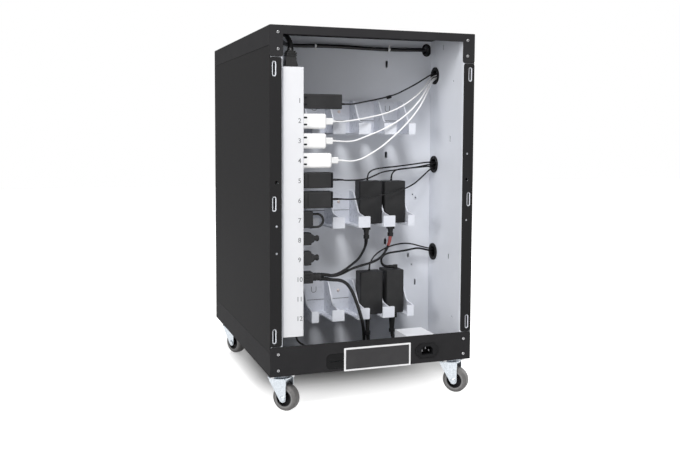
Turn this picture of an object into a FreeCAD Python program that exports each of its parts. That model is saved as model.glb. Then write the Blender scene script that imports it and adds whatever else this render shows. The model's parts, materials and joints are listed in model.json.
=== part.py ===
import FreeCAD, Part
import math
import os
import Sketcher

# Device charging cabinet on casters, in millimetres.
# X runs across, the door faces -Y, the open wiring compartment faces +Y, and Z is up from the floor.
# The origin is on the floor, under the middle of the cabinet.

Vector = FreeCAD.Vector
doc = FreeCAD.newDocument("ChargingCabinet")
sheet = doc.addObject("Spreadsheet::Sheet", "Sizes")

# Driving dimensions: name, millimetres or count, what it is
DRIVING = [
    ("body_width", 410, "outside width of the cabinet"),
    ("body_depth", 524, "outside depth of the cabinet"),
    ("body_height", 640, "height of the cabinet without its casters"),
    ("caster_height", 72, "floor to the underside of the base"),
    ("handle_reach", 22, "how far the door handle stands out in front"),
    ("rear_proud", 2, "how far the rearmost flange stands out behind"),
    ("steel", 1.2, "thickness of the outer steel"),
    ("liner_steel", 1, "thickness of the inner steel"),
    ("base_rear_height", 55, "rear wall of the base tray"),
    ("base_side_height", 44, "side and front walls of the base tray"),
    ("cap_side_height", 36, "skirt of the top cap"),
    ("cap_rear_drop", 16, "rear flange of the top cap between its tabs"),
    ("tab_drop", 56.5, "corner tab of the top cap, from the top"),
    ("tab_width", 25, "width of a corner tab"),
    ("tab_gap", 0.8, "gap between a tab or the base wall and the side panel's flange"),
    ("tab_radius", 4.5, "rounded corners of the tabs and the base wall"),
    ("bend_radius", 1.6, "outer bend of the top cap"),
    ("rear_flange", 22.5, "rear return flange of a side panel"),
    ("front_flange", 10, "front return flange of a side panel"),
    ("tongue_overlap", 18, "side panel's tongue inside the base and the cap"),
    ("tongue_end", 40, "tongue's setback from the front and the rear"),
    ("wiring_gap", 24, "outside of a side panel to the inner face of its liner"),
    ("liner_edge", 2, "gap outside a liner's flanges"),
    ("liner_front", 30, "setback of a liner's front flange"),
    ("compartment_depth", 145.5, "rear face to the divider"),
    ("divider_flange", 15, "side flange of the divider"),
    ("hook_slot_in", 8.5, "cover slot's centre from the side"),
    ("hook_slot_width", 8, "cover slot in the side panel"),
    ("hook_slot_length", 28, "cover slot in the side panel, end to end"),
    ("hook_slot_rim", 2, "how much smaller the liner's slot is, each side"),
    ("hook_slot_low", 75.5, "lowest cover slot above the base's underside"),
    ("hook_slot_pitch", 243.25, "cover slot to cover slot"),
    ("latch_hole_height", 357.5, "cover latch hole above the base's underside"),
    ("latch_hole_in", 12.8, "cover latch hole from the side"),
    ("latch_hole_diameter", 6, "cover latch hole"),
    ("dot_hole_diameter", 4, "small hole in the rear flange"),
    ("rivet_in", 15.5, "corner rivets from the side"),
    ("rivet_top", 13, "upper corner rivet from the top"),
    ("rivet_pitch", 30, "rivet to rivet at a corner"),
    ("rivet_bottom", 11.5, "lower corner rivet above the base's underside"),
    ("rivet_head", 6, "rivet head diameter"),
    ("rivet_shank", 4, "rivet shank diameter"),
    ("rivet_proud", 1.6, "height of a rivet head"),
    ("fit_gap", 0.05, "running clearance on a radius"),
    ("seat_gap", 0.3, "clearance of a loose seat"),
    ("door_gap", 2, "gap round the door"),
    ("door_thickness", 20, "thickness of the door pan"),
    ("hinge_inset", 8, "hinge pin from the door's side edge and front face"),
    ("hinge_pin_diameter", 6, "hinge pin"),
    ("ledge_depth", 22, "ledge that holds the hinge pin"),
    ("vent_length", 60, "door vent, end to end"),
    ("vent_width", 5, "door vent"),
    ("vent_pitch", 12, "vent to vent, up the door"),
    ("vent_count", 6, "vents in one column"),
    ("vent_edge", 34, "outermost vent from the door's end"),
    ("lock_in", 28, "lock spindle from the door's side edge"),
    ("lock_drop", 250, "lock spindle from the door's top"),
    ("shelf_count", 12, "device shelves"),
    ("shelf_pitch", 46.5, "shelf to shelf"),
    ("shelf_first", 44, "lowest shelf above the base's underside"),
    ("shelf_lip", 12, "front lip of a shelf"),
    ("shelf_stop", 8, "rear stop of a shelf"),
    ("shelf_front", 36, "shelf's setback from the front"),
    ("shelf_rear", 176, "shelf's rear edge from the rear face"),
    ("duct_width", 25, "width of the lead duct"),
    ("duct_depth", 26.5, "depth of the lead duct"),
    ("strip_width", 39, "width of the power strip"),
    ("strip_depth", 45, "depth of the power strip"),
    ("strip_inset", 5, "power strip behind the rear face"),
    ("strip_left", 26.5, "power strip from the cabinet's side"),
    ("strip_bottom", 71, "power strip's bottom above the base's underside"),
    ("strip_length", 495.5, "length of the power strip"),
    ("plug_width", 24, "nose of the strip's plug"),
    ("plug_deep", 17, "nose of the strip's plug"),
    ("plug_nose", 8, "nose of the strip's plug, into the strip"),
    ("outlet_count", 12, "outlets"),
    ("outlet_pitch", 36.5, "outlet to outlet"),
    ("outlet_first", 505.5, "top outlet above the base's underside"),
    ("outlet_tall", 25, "outlet insert, up"),
    ("outlet_deep", 30, "outlet insert, front to rear"),
    ("outlet_sunk", 8, "outlet insert, into the strip"),
    ("blade_spacing", 12.7, "blade to blade of a plug"),
    ("blade_length", 7, "plug blade"),
    ("holder_pitch", 182, "adapter holder to adapter holder"),
    ("holder_first", 81, "lowest holder's underside above the base's underside"),
    ("holder_height", 67, "height of a holder"),
    ("holder_reach", 88.5, "divider to the holder's lips"),
    ("holder_back", 3.5, "back plate of a holder"),
    ("rib_pitch", 53, "rib to rib"),
    ("rib_count", 5, "ribs of a holder"),
    ("rib_thickness", 3, "rib, floor and lip"),
    ("lip_width", 25, "lip of a middle rib"),
    ("lip_height", 22, "lip of a holder"),
    ("slot_back_width", 20, "narrow end of the slot in a holder's floor"),
    ("slot_setback", 22, "divider to the slot in a holder's floor"),
    ("grommet_hole", 31, "round hole in the liner"),
    ("grommet_pitch", 183.75, "grommet to grommet"),
    ("grommet_first", 199, "lowest grommet above the base's underside"),
    ("grommet_in", 123.6, "grommets from the rear face"),
    ("inlet_in", 315, "mains inlet's centre from the side"),
    ("inlet_height", 24.7, "mains inlet's centre above the base's underside"),
    ("inlet_width", 27.6, "body of the mains inlet"),
    ("inlet_tall", 20.6, "body of the mains inlet"),
    ("cover_width", 58, "inlet cover box"),
    ("cover_depth", 58, "inlet cover box"),
    ("caster_in", 28, "caster's axis from the side"),
    ("caster_back", 35, "rear caster's axis from the rear face"),
    ("caster_front", 56, "front caster's axis from the front face"),
    ("plate_size", 50, "side of a caster's top plate"),
    ("plate_thickness", 2.5, "caster's top plate"),
    ("bolt_pitch", 39, "caster bolts, each way"),
    ("bolt_diameter", 5, "caster bolt"),
    ("wheel_diameter", 50, "caster wheel"),
    ("wheel_width", 21, "caster wheel"),
    ("hub_diameter", 31, "caster hub"),
    ("axle_diameter", 8, "caster axle"),
    ("caster_trail", 14, "swivel axis to axle"),
    ("fork_steel", 2.2, "caster fork"),
]


class Size:
    """A number together with the sheet formula that it comes from."""

    def __init__(self, value, text):
        self.value = value
        self.text = text

    def __add__(self, other):
        return Size(self.value + plain(other), "(%s + %s)" % (self.text, written(other)))

    def __sub__(self, other):
        return Size(self.value - plain(other), "(%s - %s)" % (self.text, written(other)))

    def __mul__(self, other):
        return Size(self.value * plain(other), "(%s * %s)" % (self.text, written(other)))

    def __truediv__(self, other):
        return Size(self.value / plain(other), "(%s / %s)" % (self.text, written(other)))

    def __neg__(self):
        return Size(-self.value, "(0 - %s)" % self.text)

    def __radd__(self, other):
        return Size(plain(other) + self.value, "(%s + %s)" % (written(other), self.text))

    def __rsub__(self, other):
        return Size(plain(other) - self.value, "(%s - %s)" % (written(other), self.text))

    def __rmul__(self, other):
        return self * other


def plain(value):
    """The number alone."""
    if isinstance(value, Size):
        return value.value
    return float(value)


def written(value):
    """The formula alone."""
    if isinstance(value, Size):
        return value.text
    return "(0 - %.6f)" % -value if value < 0 else "%.6f" % value


class Sizes:
    """Every driving dimension of the sheet, by name."""


s = Sizes()
for row, (size_name, size_value, size_note) in enumerate(DRIVING, 1):
    sheet.set("A%d" % row, size_note)
    sheet.set("B%d" % row, "%g" % size_value)
    sheet.setAlias("B%d" % row, size_name)
    setattr(s, size_name, Size(size_value, "Sizes.%s" % size_name))
doc.recompute()

# Places that follow from the driving dimensions
half = s.body_width / 2
rear = (s.body_depth + s.handle_reach - s.rear_proud) / 2
front = rear - s.body_depth
foot = s.caster_height + 0
top = foot + s.body_height
inner = half - s.wiring_gap
side_low = foot + s.base_side_height
side_high = top - s.cap_side_height
divider_face = rear - s.compartment_depth
shelf_floor = foot + s.steel
under_cap = top - s.steel


def across(distance):
    """X of a place measured from the +X side of the cabinet."""
    return half - distance


def deep(distance):
    """Y of a place measured from the rear face inwards."""
    return rear - distance


def up(distance):
    """Z of a place measured from the underside of the base."""
    return foot + distance


# Sketches, pads and pockets

PLANES = {"XY": ("XY_Plane", 1), "XZ": ("XZ_Plane", -1), "YZ": ("YZ_Plane", 1)}
pieces = []


def piece(label):
    """A new sub-part, whose label is its file name."""
    body = doc.addObject("PartDesign::Body", label)
    body.Label = label
    pieces.append(body)
    return body


def bind(thing, prop, value):
    """Tie a property to its formula, or set a plain number."""
    if isinstance(value, Size):
        thing.setExpression(prop, value.text)
    else:
        thing.setExpression(prop, written(value))


def fix(sketch, kind, places, value):
    """Add one dimension to a sketch and tie it to its formula."""
    index = sketch.addConstraint(Sketcher.Constraint(kind, *places, plain(value)))
    if isinstance(value, Size):
        sketch.setExpression("Constraints[%d]" % index, value.text)


def fix_point(sketch, curve, end, point):
    fix(sketch, "DistanceX", (curve, end), point[0])
    fix(sketch, "DistanceY", (curve, end), point[1])


def polygon(*points):
    """A closed outline of straight edges."""
    def draw(sketch):
        first = sketch.GeometryCount
        count = len(points)
        spots = [Vector(plain(x), plain(y), 0) for x, y in points]
        for i in range(count):
            sketch.addGeometry(Part.LineSegment(spots[i], spots[(i + 1) % count]), False)
        for i in range(count):
            following = first + (i + 1) % count
            sketch.addConstraint(Sketcher.Constraint("Coincident", first + i, 2, following, 1))
        for i in range(count):
            fix_point(sketch, first + i, 1, points[i])
    return draw


def box(x0, y0, x1, y1):
    """A rectangle from corner to corner."""
    return polygon((x0, y0), (x1, y0), (x1, y1), (x0, y1))


def circle(x, y, radius):
    def draw(sketch):
        curve = sketch.GeometryCount
        centre = Vector(plain(x), plain(y), 0)
        sketch.addGeometry(Part.Circle(centre, Vector(0, 0, 1), plain(radius)), False)
        fix_point(sketch, curve, 3, (x, y))
        fix(sketch, "Radius", (curve,), radius)
    return draw


def arcs_and_lines(corners, radius):
    """Arcs of one radius, anticlockwise, joined by tangent lines. A corner is x, y, first quarter."""
    def draw(sketch):
        first = sketch.GeometryCount
        count = len(corners)
        sweep = 2 * math.pi / count
        arcs = []
        for x, y, quarter in corners:
            start = quarter * math.pi / 2
            rim = Part.Circle(Vector(plain(x), plain(y), 0), Vector(0, 0, 1), plain(radius))
            arcs.append(Part.ArcOfCircle(rim, start, start + sweep))
        for arc in arcs:
            sketch.addGeometry(arc, False)
        for i in range(count):
            line = Part.LineSegment(arcs[i].EndPoint, arcs[(i + 1) % count].StartPoint)
            sketch.addGeometry(line, False)
        for i in range(count):
            fix_point(sketch, first + i, 3, corners[i][:2])
            fix(sketch, "Radius", (first + i,), radius)
            line = first + count + i
            following = first + (i + 1) % count
            sketch.addConstraint(Sketcher.Constraint("Tangent", first + i, 2, line, 1))
            sketch.addConstraint(Sketcher.Constraint("Tangent", line, 2, following, 1))
    return draw


def slot(x, y, width, height):
    """A slot with round ends, along whichever side is longer."""
    if plain(height) > plain(width):
        reach = (height - width) / 2
        return arcs_and_lines([(x, y + reach, 0), (x, y - reach, 2)], width / 2)
    reach = (width - height) / 2
    return arcs_and_lines([(x + reach, y, 3), (x - reach, y, 1)], height / 2)


def rounded(x, y, width, height, radius):
    """A rectangle with rounded corners, about its centre."""
    dx = width / 2 - radius
    dy = height / 2 - radius
    corners = [(x + dx, y - dy, 3), (x + dx, y + dy, 0), (x - dx, y + dy, 1), (x - dx, y - dy, 2)]
    return arcs_and_lines(corners, radius)


def corner(x, y, dx, dy, radius):
    """What rounding takes off a square corner whose sides run towards dx and dy."""
    def draw(sketch):
        arc = sketch.GeometryCount
        cx = x + radius * dx
        cy = y + radius * dy
        quarter = {(-1, -1): 0, (1, -1): 1, (1, 1): 2, (-1, 1): 3}[(dx, dy)]
        rim = Part.Circle(Vector(plain(cx), plain(cy), 0), Vector(0, 0, 1), plain(radius))
        curve = Part.ArcOfCircle(rim, quarter * math.pi / 2, (quarter + 1) * math.pi / 2)
        tip = Vector(plain(x), plain(y), 0)
        sketch.addGeometry(curve, False)
        sketch.addGeometry(Part.LineSegment(curve.EndPoint, tip), False)
        sketch.addGeometry(Part.LineSegment(tip, curve.StartPoint), False)
        for before, after in ((arc, arc + 1), (arc + 1, arc + 2), (arc + 2, arc)):
            sketch.addConstraint(Sketcher.Constraint("Coincident", before, 2, after, 1))
        fix_point(sketch, arc, 3, (cx, cy))
        fix(sketch, "Radius", (arc,), radius)
        fix_point(sketch, arc + 1, 2, (x, y))
        fix(sketch, "DistanceX", (arc, 1 if quarter in (1, 3) else 2), cx)
        fix(sketch, "DistanceY", (arc, 2 if quarter in (1, 3) else 1), cy)
    return draw


def sketch_at(body, plane, level, outlines):
    role, sense = PLANES[plane]
    support = [f for f in body.Origin.OriginFeatures if f.Role == role][0]
    sketch = body.newObject("Sketcher::SketchObject", "Outline")
    sketch.AttachmentSupport = [(support, "")]
    sketch.MapMode = "FlatFace"
    bind(sketch, "AttachmentOffset.Base.z", level * sense)
    for draw in outlines:
        draw(sketch)
    return sketch


def pad(body, plane, start, end, *outlines, taper=0):
    """Add material between two places along the plane's own axis."""
    sense = PLANES[plane][1]
    sketch = sketch_at(body, plane, start if sense > 0 else end, outlines)
    feature = body.newObject("PartDesign::Pad", "Pad")
    feature.Profile = sketch
    bind(feature, "Length", end - start)
    if taper:
        feature.TaperAngle = taper
    return feature


def pocket(body, plane, start, end, *outlines):
    """Cut between two places along the plane's own axis."""
    sense = PLANES[plane][1]
    sketch = sketch_at(body, plane, end if sense > 0 else start, outlines)
    feature = body.newObject("PartDesign::Pocket", "Pocket")
    feature.Profile = sketch
    bind(feature, "Length", end - start)
    return feature


def revolve(body, *outlines):
    """A full turn of an outline, drawn in XZ, about the vertical."""
    sketch = sketch_at(body, "XZ", 0, outlines)
    feature = body.newObject("PartDesign::Revolution", "Revolution")
    feature.Profile = sketch
    feature.ReferenceAxis = (sketch, ["V_Axis"])
    feature.Angle = 360
    return feature


def repeat(body, features, axis, spacing, count, backwards=False):
    """Repeat features along an axis of the body."""
    pattern = body.newObject("PartDesign::LinearPattern", "Pattern")
    pattern.Originals = features
    line = [f for f in body.Origin.OriginFeatures if f.Role == axis][0]
    pattern.Direction = (line, [""])
    pattern.Reversed = backwards
    pattern.Mode = "Spacing"
    bind(pattern, "Offset", spacing)
    bind(pattern, "Occurrences", count)
    body.Tip = pattern
    return pattern


def soften(body, radius, wanted):
    """Round the edges of the body that wanted picks."""
    doc.recompute()
    base = body.Tip
    names = ["Edge%d" % i for i, edge in enumerate(base.Shape.Edges, 1) if wanted(edge)]
    feature = body.newObject("PartDesign::Fillet", "Fillet")
    feature.Base = (base, names)
    bind(feature, "Radius", radius)
    return feature


def runs_along(edge, axis):
    """Whether an edge is straight and runs along x, y or z."""
    if not isinstance(edge.Curve, Part.Line):
        return False
    return abs(abs(getattr(edge.Curve.Direction, axis)) - 1) < 1e-6


def near(value, place, slack=0.01):
    return abs(value - plain(place)) < slack


def stand(body, x, y, z):
    """Place a body that was drawn about its own origin."""
    bind(body, "Placement.Base.x", x)
    bind(body, "Placement.Base.y", y)
    bind(body, "Placement.Base.z", z)


# Outer steel

def rivet_spots():
    """Corner rivets of the rear face, as x and z."""
    heights = [up(s.rivet_bottom), up(s.rivet_bottom + s.rivet_pitch)]
    heights += [top - s.rivet_top, top - s.rivet_top - s.rivet_pitch]
    return [(side * (half - s.rivet_in), z) for side in (1, -1) for z in heights]


def caster_spots():
    """Swivel axes of the casters, as x and y, rear pair first."""
    x = half - s.caster_in
    return [(x, deep(s.caster_back)), (-x, deep(s.caster_back)),
            (x, front + s.caster_front), (-x, front + s.caster_front)]


def bolt_spots():
    """The bolts of every caster plate."""
    reach = s.bolt_pitch / 2
    corners = [(1, 1), (1, -1), (-1, 1), (-1, -1)]
    return [(x + a * reach, y + b * reach) for x, y in caster_spots() for a, b in corners]


hinge_x = -half + s.front_flange + s.door_gap + s.hinge_inset
hinge_y = front + s.hinge_inset
hinge_bore = s.hinge_pin_diameter / 2 + s.fit_gap
gland_in = 134.5
gland_height = 19.2
gland_width = 52
gland_tall = 29
gland_radius = 9
inlet_corner = 1.5


def inlet_screw_holes(x, z):
    reach = 20
    return [circle(x + side * reach, z, 1.6) for side in (1, -1)]


def make_base_tray():
    body = piece("base_tray")
    high = up(s.base_rear_height)
    pad(body, "XY", foot, high, box(-half, front, half, rear))
    pocket(body, "XY", foot + s.steel, high,
           box(-half + s.steel, front + s.steel, half - s.steel, rear - s.steel))
    pocket(body, "YZ", -half, half, box(front, side_low, rear - s.steel, high))
    pad(body, "XY", side_low - s.steel, side_low,
        box(-half + s.steel, front + s.steel, half - s.steel, front + s.ledge_depth))
    pocket(body, "XY", side_low - s.steel, side_low, circle(hinge_x, hinge_y, hinge_bore))
    inlet_x = across(s.inlet_in)
    inlet_z = up(s.inlet_height)
    holes = [rounded(inlet_x, inlet_z, s.inlet_width, s.inlet_tall, inlet_corner),
             rounded(across(gland_in), up(gland_height), gland_width, gland_tall, gland_radius)]
    holes += inlet_screw_holes(inlet_x, inlet_z)
    holes += [circle(x, z, s.rivet_shank / 2) for x, z in rivet_spots() if plain(z) < plain(high)]
    pocket(body, "XZ", rear - s.steel, rear, *holes)
    pocket(body, "XY", foot, foot + s.steel,
           *[circle(x, y, s.bolt_diameter / 2) for x, y in bolt_spots()])
    soften(body, s.tab_radius, lambda e: runs_along(e, "y") and near(e.BoundBox.ZMin, high)
           and near(abs(e.BoundBox.XMin), half))


def make_top_cap():
    body = piece("top_cap")
    low = top - s.tab_drop
    pad(body, "XY", low, top, box(-half, front, half, rear))
    pocket(body, "XY", low, top - s.steel,
           box(-half + s.steel, front + s.steel, half - s.steel, rear - s.steel))
    pocket(body, "YZ", -half, half, box(front, low, rear - s.steel, side_high))
    pad(body, "XY", side_high, side_high + s.steel,
        box(-half + s.steel, front + s.steel, half - s.steel, front + s.ledge_depth))
    pocket(body, "XY", side_high, side_high + s.steel, circle(hinge_x, hinge_y, hinge_bore))
    open_half = half - s.tab_width
    pocket(body, "XZ", rear - s.steel, rear, box(-open_half, low, open_half, top - s.cap_rear_drop))
    pocket(body, "XZ", rear - s.steel, rear,
           *[circle(x, z, s.rivet_shank / 2) for x, z in rivet_spots() if plain(z) > plain(low)])
    soften(body, s.tab_radius, lambda e: runs_along(e, "y") and near(e.BoundBox.ZMin, low))
    soften(body, s.bend_radius, lambda e: near(e.BoundBox.ZMin, top) and near(e.BoundBox.ZMax, top))


def make_side_panel(label, side):
    body = piece(label)
    skin = half - s.steel
    pad(body, "XY", side_low, side_high, polygon(
        (side * half, rear), (side * half, front),
        (side * (half - s.front_flange), front), (side * (half - s.front_flange), front + s.steel),
        (side * skin, front + s.steel), (side * skin, rear - s.steel),
        (side * (half - s.rear_flange), rear - s.steel), (side * (half - s.rear_flange), rear)))
    flange = box(side * (half - s.rear_flange), rear - s.steel, side * half, rear)
    flange_high = top - s.tab_drop - s.tab_gap
    flange_low = up(s.base_rear_height + s.tab_gap)
    pocket(body, "XY", flange_high, side_high, flange)
    pocket(body, "XY", side_low, flange_low, flange)
    pocket(body, "XZ", rear - s.steel, rear, *[
        corner(side * x, z, side * dx, dz, s.tab_radius)
        for x, dx in ((half, -1), (half - s.rear_flange, 1))
        for z, dz in ((flange_low, 1), (flange_high, -1))])
    tongue = box(side * (skin - s.steel), front + s.tongue_end, side * skin, rear - s.tongue_end)
    pad(body, "XY", side_low - s.tongue_overlap, side_low + s.tongue_overlap, tongue)
    pad(body, "XY", side_high - s.tongue_overlap, side_high + s.tongue_overlap, tongue)
    pocket(body, "XZ", rear - s.steel, rear, *cover_slots(side, 0))
    dots = (-79.5, 50.5) if side < 0 else (-79.5, -129.5)
    hole_x = side * (half - s.latch_hole_in)
    pocket(body, "XZ", rear - s.steel, rear,
           circle(hole_x, up(s.latch_hole_height), s.latch_hole_diameter / 2),
           *[circle(hole_x, up(s.latch_hole_height + step), s.dot_hole_diameter / 2) for step in dots])


def cover_slots(side, rim):
    """Slots that the rear cover hooks into, smaller by a rim in the liner."""
    x = side * (half - s.hook_slot_in)
    heights = [up(s.hook_slot_low + s.hook_slot_pitch * step) for step in range(3)]
    return [slot(x, z, s.hook_slot_width - rim * 2, s.hook_slot_length - rim * 2) for z in heights]


# Inner steel

# Distance from the rear, height above the base's underside, width and height
LINER_LANCES = [(53.5, 436.5, 3.5, 13), (53.5, 198.5, 3.5, 11), (88.4, 622, 3, 12)]

# Distance from the rear, height above the base's underside, radius
LINER_HOLES = [(42, 551, 2), (34.8, 78.4, 2.5)]


def make_liner(label, side):
    body = piece(label)
    back = rear - s.steel
    edge = half - s.liner_edge
    wall = inner + s.liner_steel
    front_face = front + s.liner_front
    pad(body, "XY", shelf_floor, under_cap, polygon(
        (side * edge, back), (side * inner, back), (side * inner, front_face), (side * edge, front_face),
        (side * edge, front_face + s.liner_steel), (side * wall, front_face + s.liner_steel),
        (side * wall, back - s.liner_steel), (side * edge, back - s.liner_steel)))
    pocket(body, "XZ", back - s.liner_steel, back, *cover_slots(side, s.hook_slot_rim))
    rivets = [circle(x, z, s.rivet_shank / 2) for x, z in rivet_spots() if plain(x) * side > 0]
    pocket(body, "XZ", back - s.liner_steel, back, *rivets,
           circle(side * (half - s.latch_hole_in), up(s.latch_hole_height), s.latch_hole_diameter / 2))
    low_x = inner if side > 0 else -wall
    marks = [slot(deep(v), up(z), wide, tall) for v, z, wide, tall in LINER_LANCES]
    marks += [circle(deep(v), up(z), radius) for v, z, radius in LINER_HOLES]
    if side < 0:
        marks += [circle(y, z, s.grommet_hole / 2) for y, z in grommet_spots()]
    pocket(body, "YZ", low_x, low_x + s.liner_steel, *marks)


def grommet_spots():
    """Round cord holes in the -X liner, as y and z."""
    return [(deep(s.grommet_in), up(s.grommet_first + s.grommet_pitch * step)) for step in range(3)]


oblong_x = -inner + 11
oblong_height = 620.4
oblong_width = 15
oblong_tall = 22


def pocket_x(number):
    """Middle of a holder's pocket, numbered from the +X side."""
    return s.rib_pitch * (s.rib_count / 2 - number)


def make_divider():
    body = piece("divider_panel")
    fold = divider_face - s.liner_steel
    end = fold - s.divider_flange
    turn = inner - s.liner_steel
    pad(body, "XY", shelf_floor, under_cap, polygon(
        (-inner, divider_face), (inner, divider_face), (inner, end), (turn, end),
        (turn, fold), (-turn, fold), (-turn, end), (-inner, end)))
    lances = [(pocket_x(4) - 1, 589, 5, 14), (pocket_x(4) - 1, 402.5, 5, 13), (pocket_x(4) - 1, 221.5, 5, 13),
              (-inner + 31.8, 132, 3, 12), (-inner + 48, 190, 3, 9)]
    dots = [(-inner + 39, 318.6), (-inner + 32.3, 311.6), (-inner + 39.6, 169.9)]
    holes = [slot(x, up(z), w, tall) for x, z, w, tall in lances]
    holes += [circle(x, up(z), 1.5) for x, z in dots]
    holes += [slot(oblong_x, up(oblong_height), oblong_width, oblong_tall)]
    pocket(body, "XZ", fold, divider_face, *holes)


def make_lead_duct():
    body = piece("lead_duct")
    back = divider_face - s.liner_steel
    leg = -inner + s.duct_width
    web = back - s.duct_depth
    pad(body, "XY", shelf_floor, under_cap, polygon(
        (leg, back), (leg, web), (-inner, web), (-inner, web + s.liner_steel),
        (leg - s.liner_steel, web + s.liner_steel), (leg - s.liner_steel, back)))


def make_shelves():
    body = piece("device_shelves")
    z = up(s.shelf_first)
    near_y = front + s.shelf_front
    far_y = deep(s.shelf_rear)
    tray = pad(body, "YZ", -inner, inner, polygon(
        (near_y, z - s.shelf_lip), (near_y + s.liner_steel, z - s.shelf_lip), (near_y + s.liner_steel, z),
        (far_y, z), (far_y, z + s.shelf_stop), (far_y - s.liner_steel, z + s.shelf_stop),
        (far_y - s.liner_steel, z + s.liner_steel), (near_y, z + s.liner_steel)))
    notch_wide = 40
    notch_deep = 24
    notch = pocket(body, "XY", z, z + s.shelf_stop,
                   box(-inner, far_y - notch_deep, -inner + notch_wide, far_y))
    repeat(body, [tray, notch], "Z_Axis", s.shelf_pitch, s.shelf_count)


# Power strip

strip_centre_x = across(s.strip_left + s.strip_width / 2)
strip_centre_y = deep(s.strip_inset + s.strip_depth / 2)
outlet_face = across(s.strip_left + s.strip_width)
plug_face = outlet_face - 0.5
blade_thickness = 1.6
blade_height = 6


def make_power_strip():
    body = piece("power_strip")
    low = up(s.strip_bottom)
    high = low + s.strip_length
    pad(body, "XY", low, high,
        rounded(strip_centre_x, strip_centre_y, s.strip_width, s.strip_depth, 1.5))
    lug_tall = 30
    lug_half = 12
    lugs = [box(across(s.strip_left + 1), z, across(s.wiring_gap), z + lug_tall)
            for z in (low + 39, high - 66.5)]
    pad(body, "XZ", strip_centre_y - lug_half, strip_centre_y + lug_half, *lugs)
    pocket(body, "XY", high - s.plug_nose, high,
           rounded(strip_centre_x, strip_centre_y, s.plug_width, s.plug_deep, 3))
    recess = pocket(body, "YZ", outlet_face, outlet_face + s.outlet_sunk,
                    rounded(strip_centre_y, up(s.outlet_first), s.outlet_deep, s.outlet_tall, 3))
    repeat(body, [recess], "Z_Axis", s.outlet_pitch, s.outlet_count, backwards=True)


def make_outlets():
    body = piece("outlet_sockets")
    z = up(s.outlet_first)
    insert = pad(body, "YZ", plug_face, outlet_face + s.outlet_sunk,
                 rounded(strip_centre_y, z, s.outlet_deep - 0.4, s.outlet_tall - 0.4, 2.8))
    slots = pocket(body, "YZ", plug_face, plug_face + s.blade_length + 0.5,
                   *blade_outlines(z, s.seat_gap, 1), circle(strip_centre_y, z - 6, 2.6))
    repeat(body, [insert, slots], "Z_Axis", s.outlet_pitch, s.outlet_count, backwards=True)


def outlet_z(number):
    """Height of an outlet's centre."""
    return up(s.outlet_first) - s.outlet_pitch * (number - 1)


def blade_outlines(z, sideways, endways):
    """Both blades of a plug, widened to a slot by the room beside and beyond them."""
    thick = blade_thickness / 2 + sideways
    return [box(y - thick, z - endways, y + thick, z + blade_height + endways)
            for y in (strip_centre_y - s.blade_spacing / 2, strip_centre_y + s.blade_spacing / 2)]


def plug_block(body, number, length, tall, deep_size, radius=3):
    """The housing of something plugged into an outlet, with its blades."""
    z = outlet_z(number)
    pad(body, "YZ", plug_face - length, plug_face, rounded(strip_centre_y, z, deep_size, tall, radius))
    pad(body, "YZ", plug_face - 0.5, plug_face + s.blade_length, *blade_outlines(z, 0, 0))


def relief(body, number, start, length, radius, drop=0):
    """A round strain relief at the free end of a plugged-in housing."""
    end = plug_face - start
    pad(body, "YZ", end - length, end, circle(strip_centre_y, outlet_z(number) - drop, radius))


def loop_line(start, turn, z, radius):
    """Out along one line, round half a circle and back along another."""
    def draw(sketch):
        high = z + radius
        low = z - radius
        rim = Part.Circle(Vector(plain(turn), plain(z), 0), Vector(0, 0, 1), plain(radius))
        bend = Part.ArcOfCircle(rim, math.pi / 2, math.pi * 3 / 2)
        upper_end = Vector(plain(start), plain(high), 0)
        lower_end = Vector(plain(start), plain(low), 0)
        sketch.addGeometry(Part.LineSegment(upper_end, bend.StartPoint), False)
        sketch.addGeometry(bend, False)
        sketch.addGeometry(Part.LineSegment(bend.EndPoint, lower_end), False)
        sketch.addConstraint(Sketcher.Constraint("Coincident", 0, 2, 1, 1))
        sketch.addConstraint(Sketcher.Constraint("Coincident", 1, 2, 2, 1))
        fix_point(sketch, 0, 1, (start, high))
        fix_point(sketch, 0, 2, (turn, high))
        fix_point(sketch, 1, 3, (turn, z))
        fix(sketch, "DistanceX", (2, 1), turn)
        fix_point(sketch, 2, 2, (start, low))
    return draw


loop_radius = 12.2


def pull_loop(body, number, length):
    """A round loop at the free end of a plug, to pull it out by."""
    root = plug_face - length + 2
    z = outlet_z(number) - 3
    section = sketch_at(body, "YZ", root, [circle(strip_centre_y, z + loop_radius, 2.25)])
    path = sketch_at(body, "XZ", strip_centre_y, [loop_line(root, root - 13, z, loop_radius)])
    loop = body.newObject("PartDesign::AdditivePipe", "Loop")
    loop.Profile = section
    loop.Spine = (path, ["Edge1", "Edge2", "Edge3"])


def shoulder(body, number, start, length):
    """The part of a plug that narrows towards its strain relief."""
    end = plug_face - start
    pad(body, "YZ", end - length, end,
        rounded(strip_centre_y, outlet_z(number), 13, 13, 3), taper=28)


# Outlet, length of the housing, up, front to rear
BLACK_ADAPTERS = [(1, 76, 27, 28), (5, 59, 29, 28), (6, 59, 31, 28)]
USB_ADAPTERS = [(2, 46, 28, 28), (3, 46, 28, 28), (4, 57, 28, 28)]
SMALL_PLUGS = [(7, 21, 31, 22), (8, 18, 23, 22), (9, 18, 26, 22)]
usb_plug = 15.5
black_relief = 10


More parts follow.
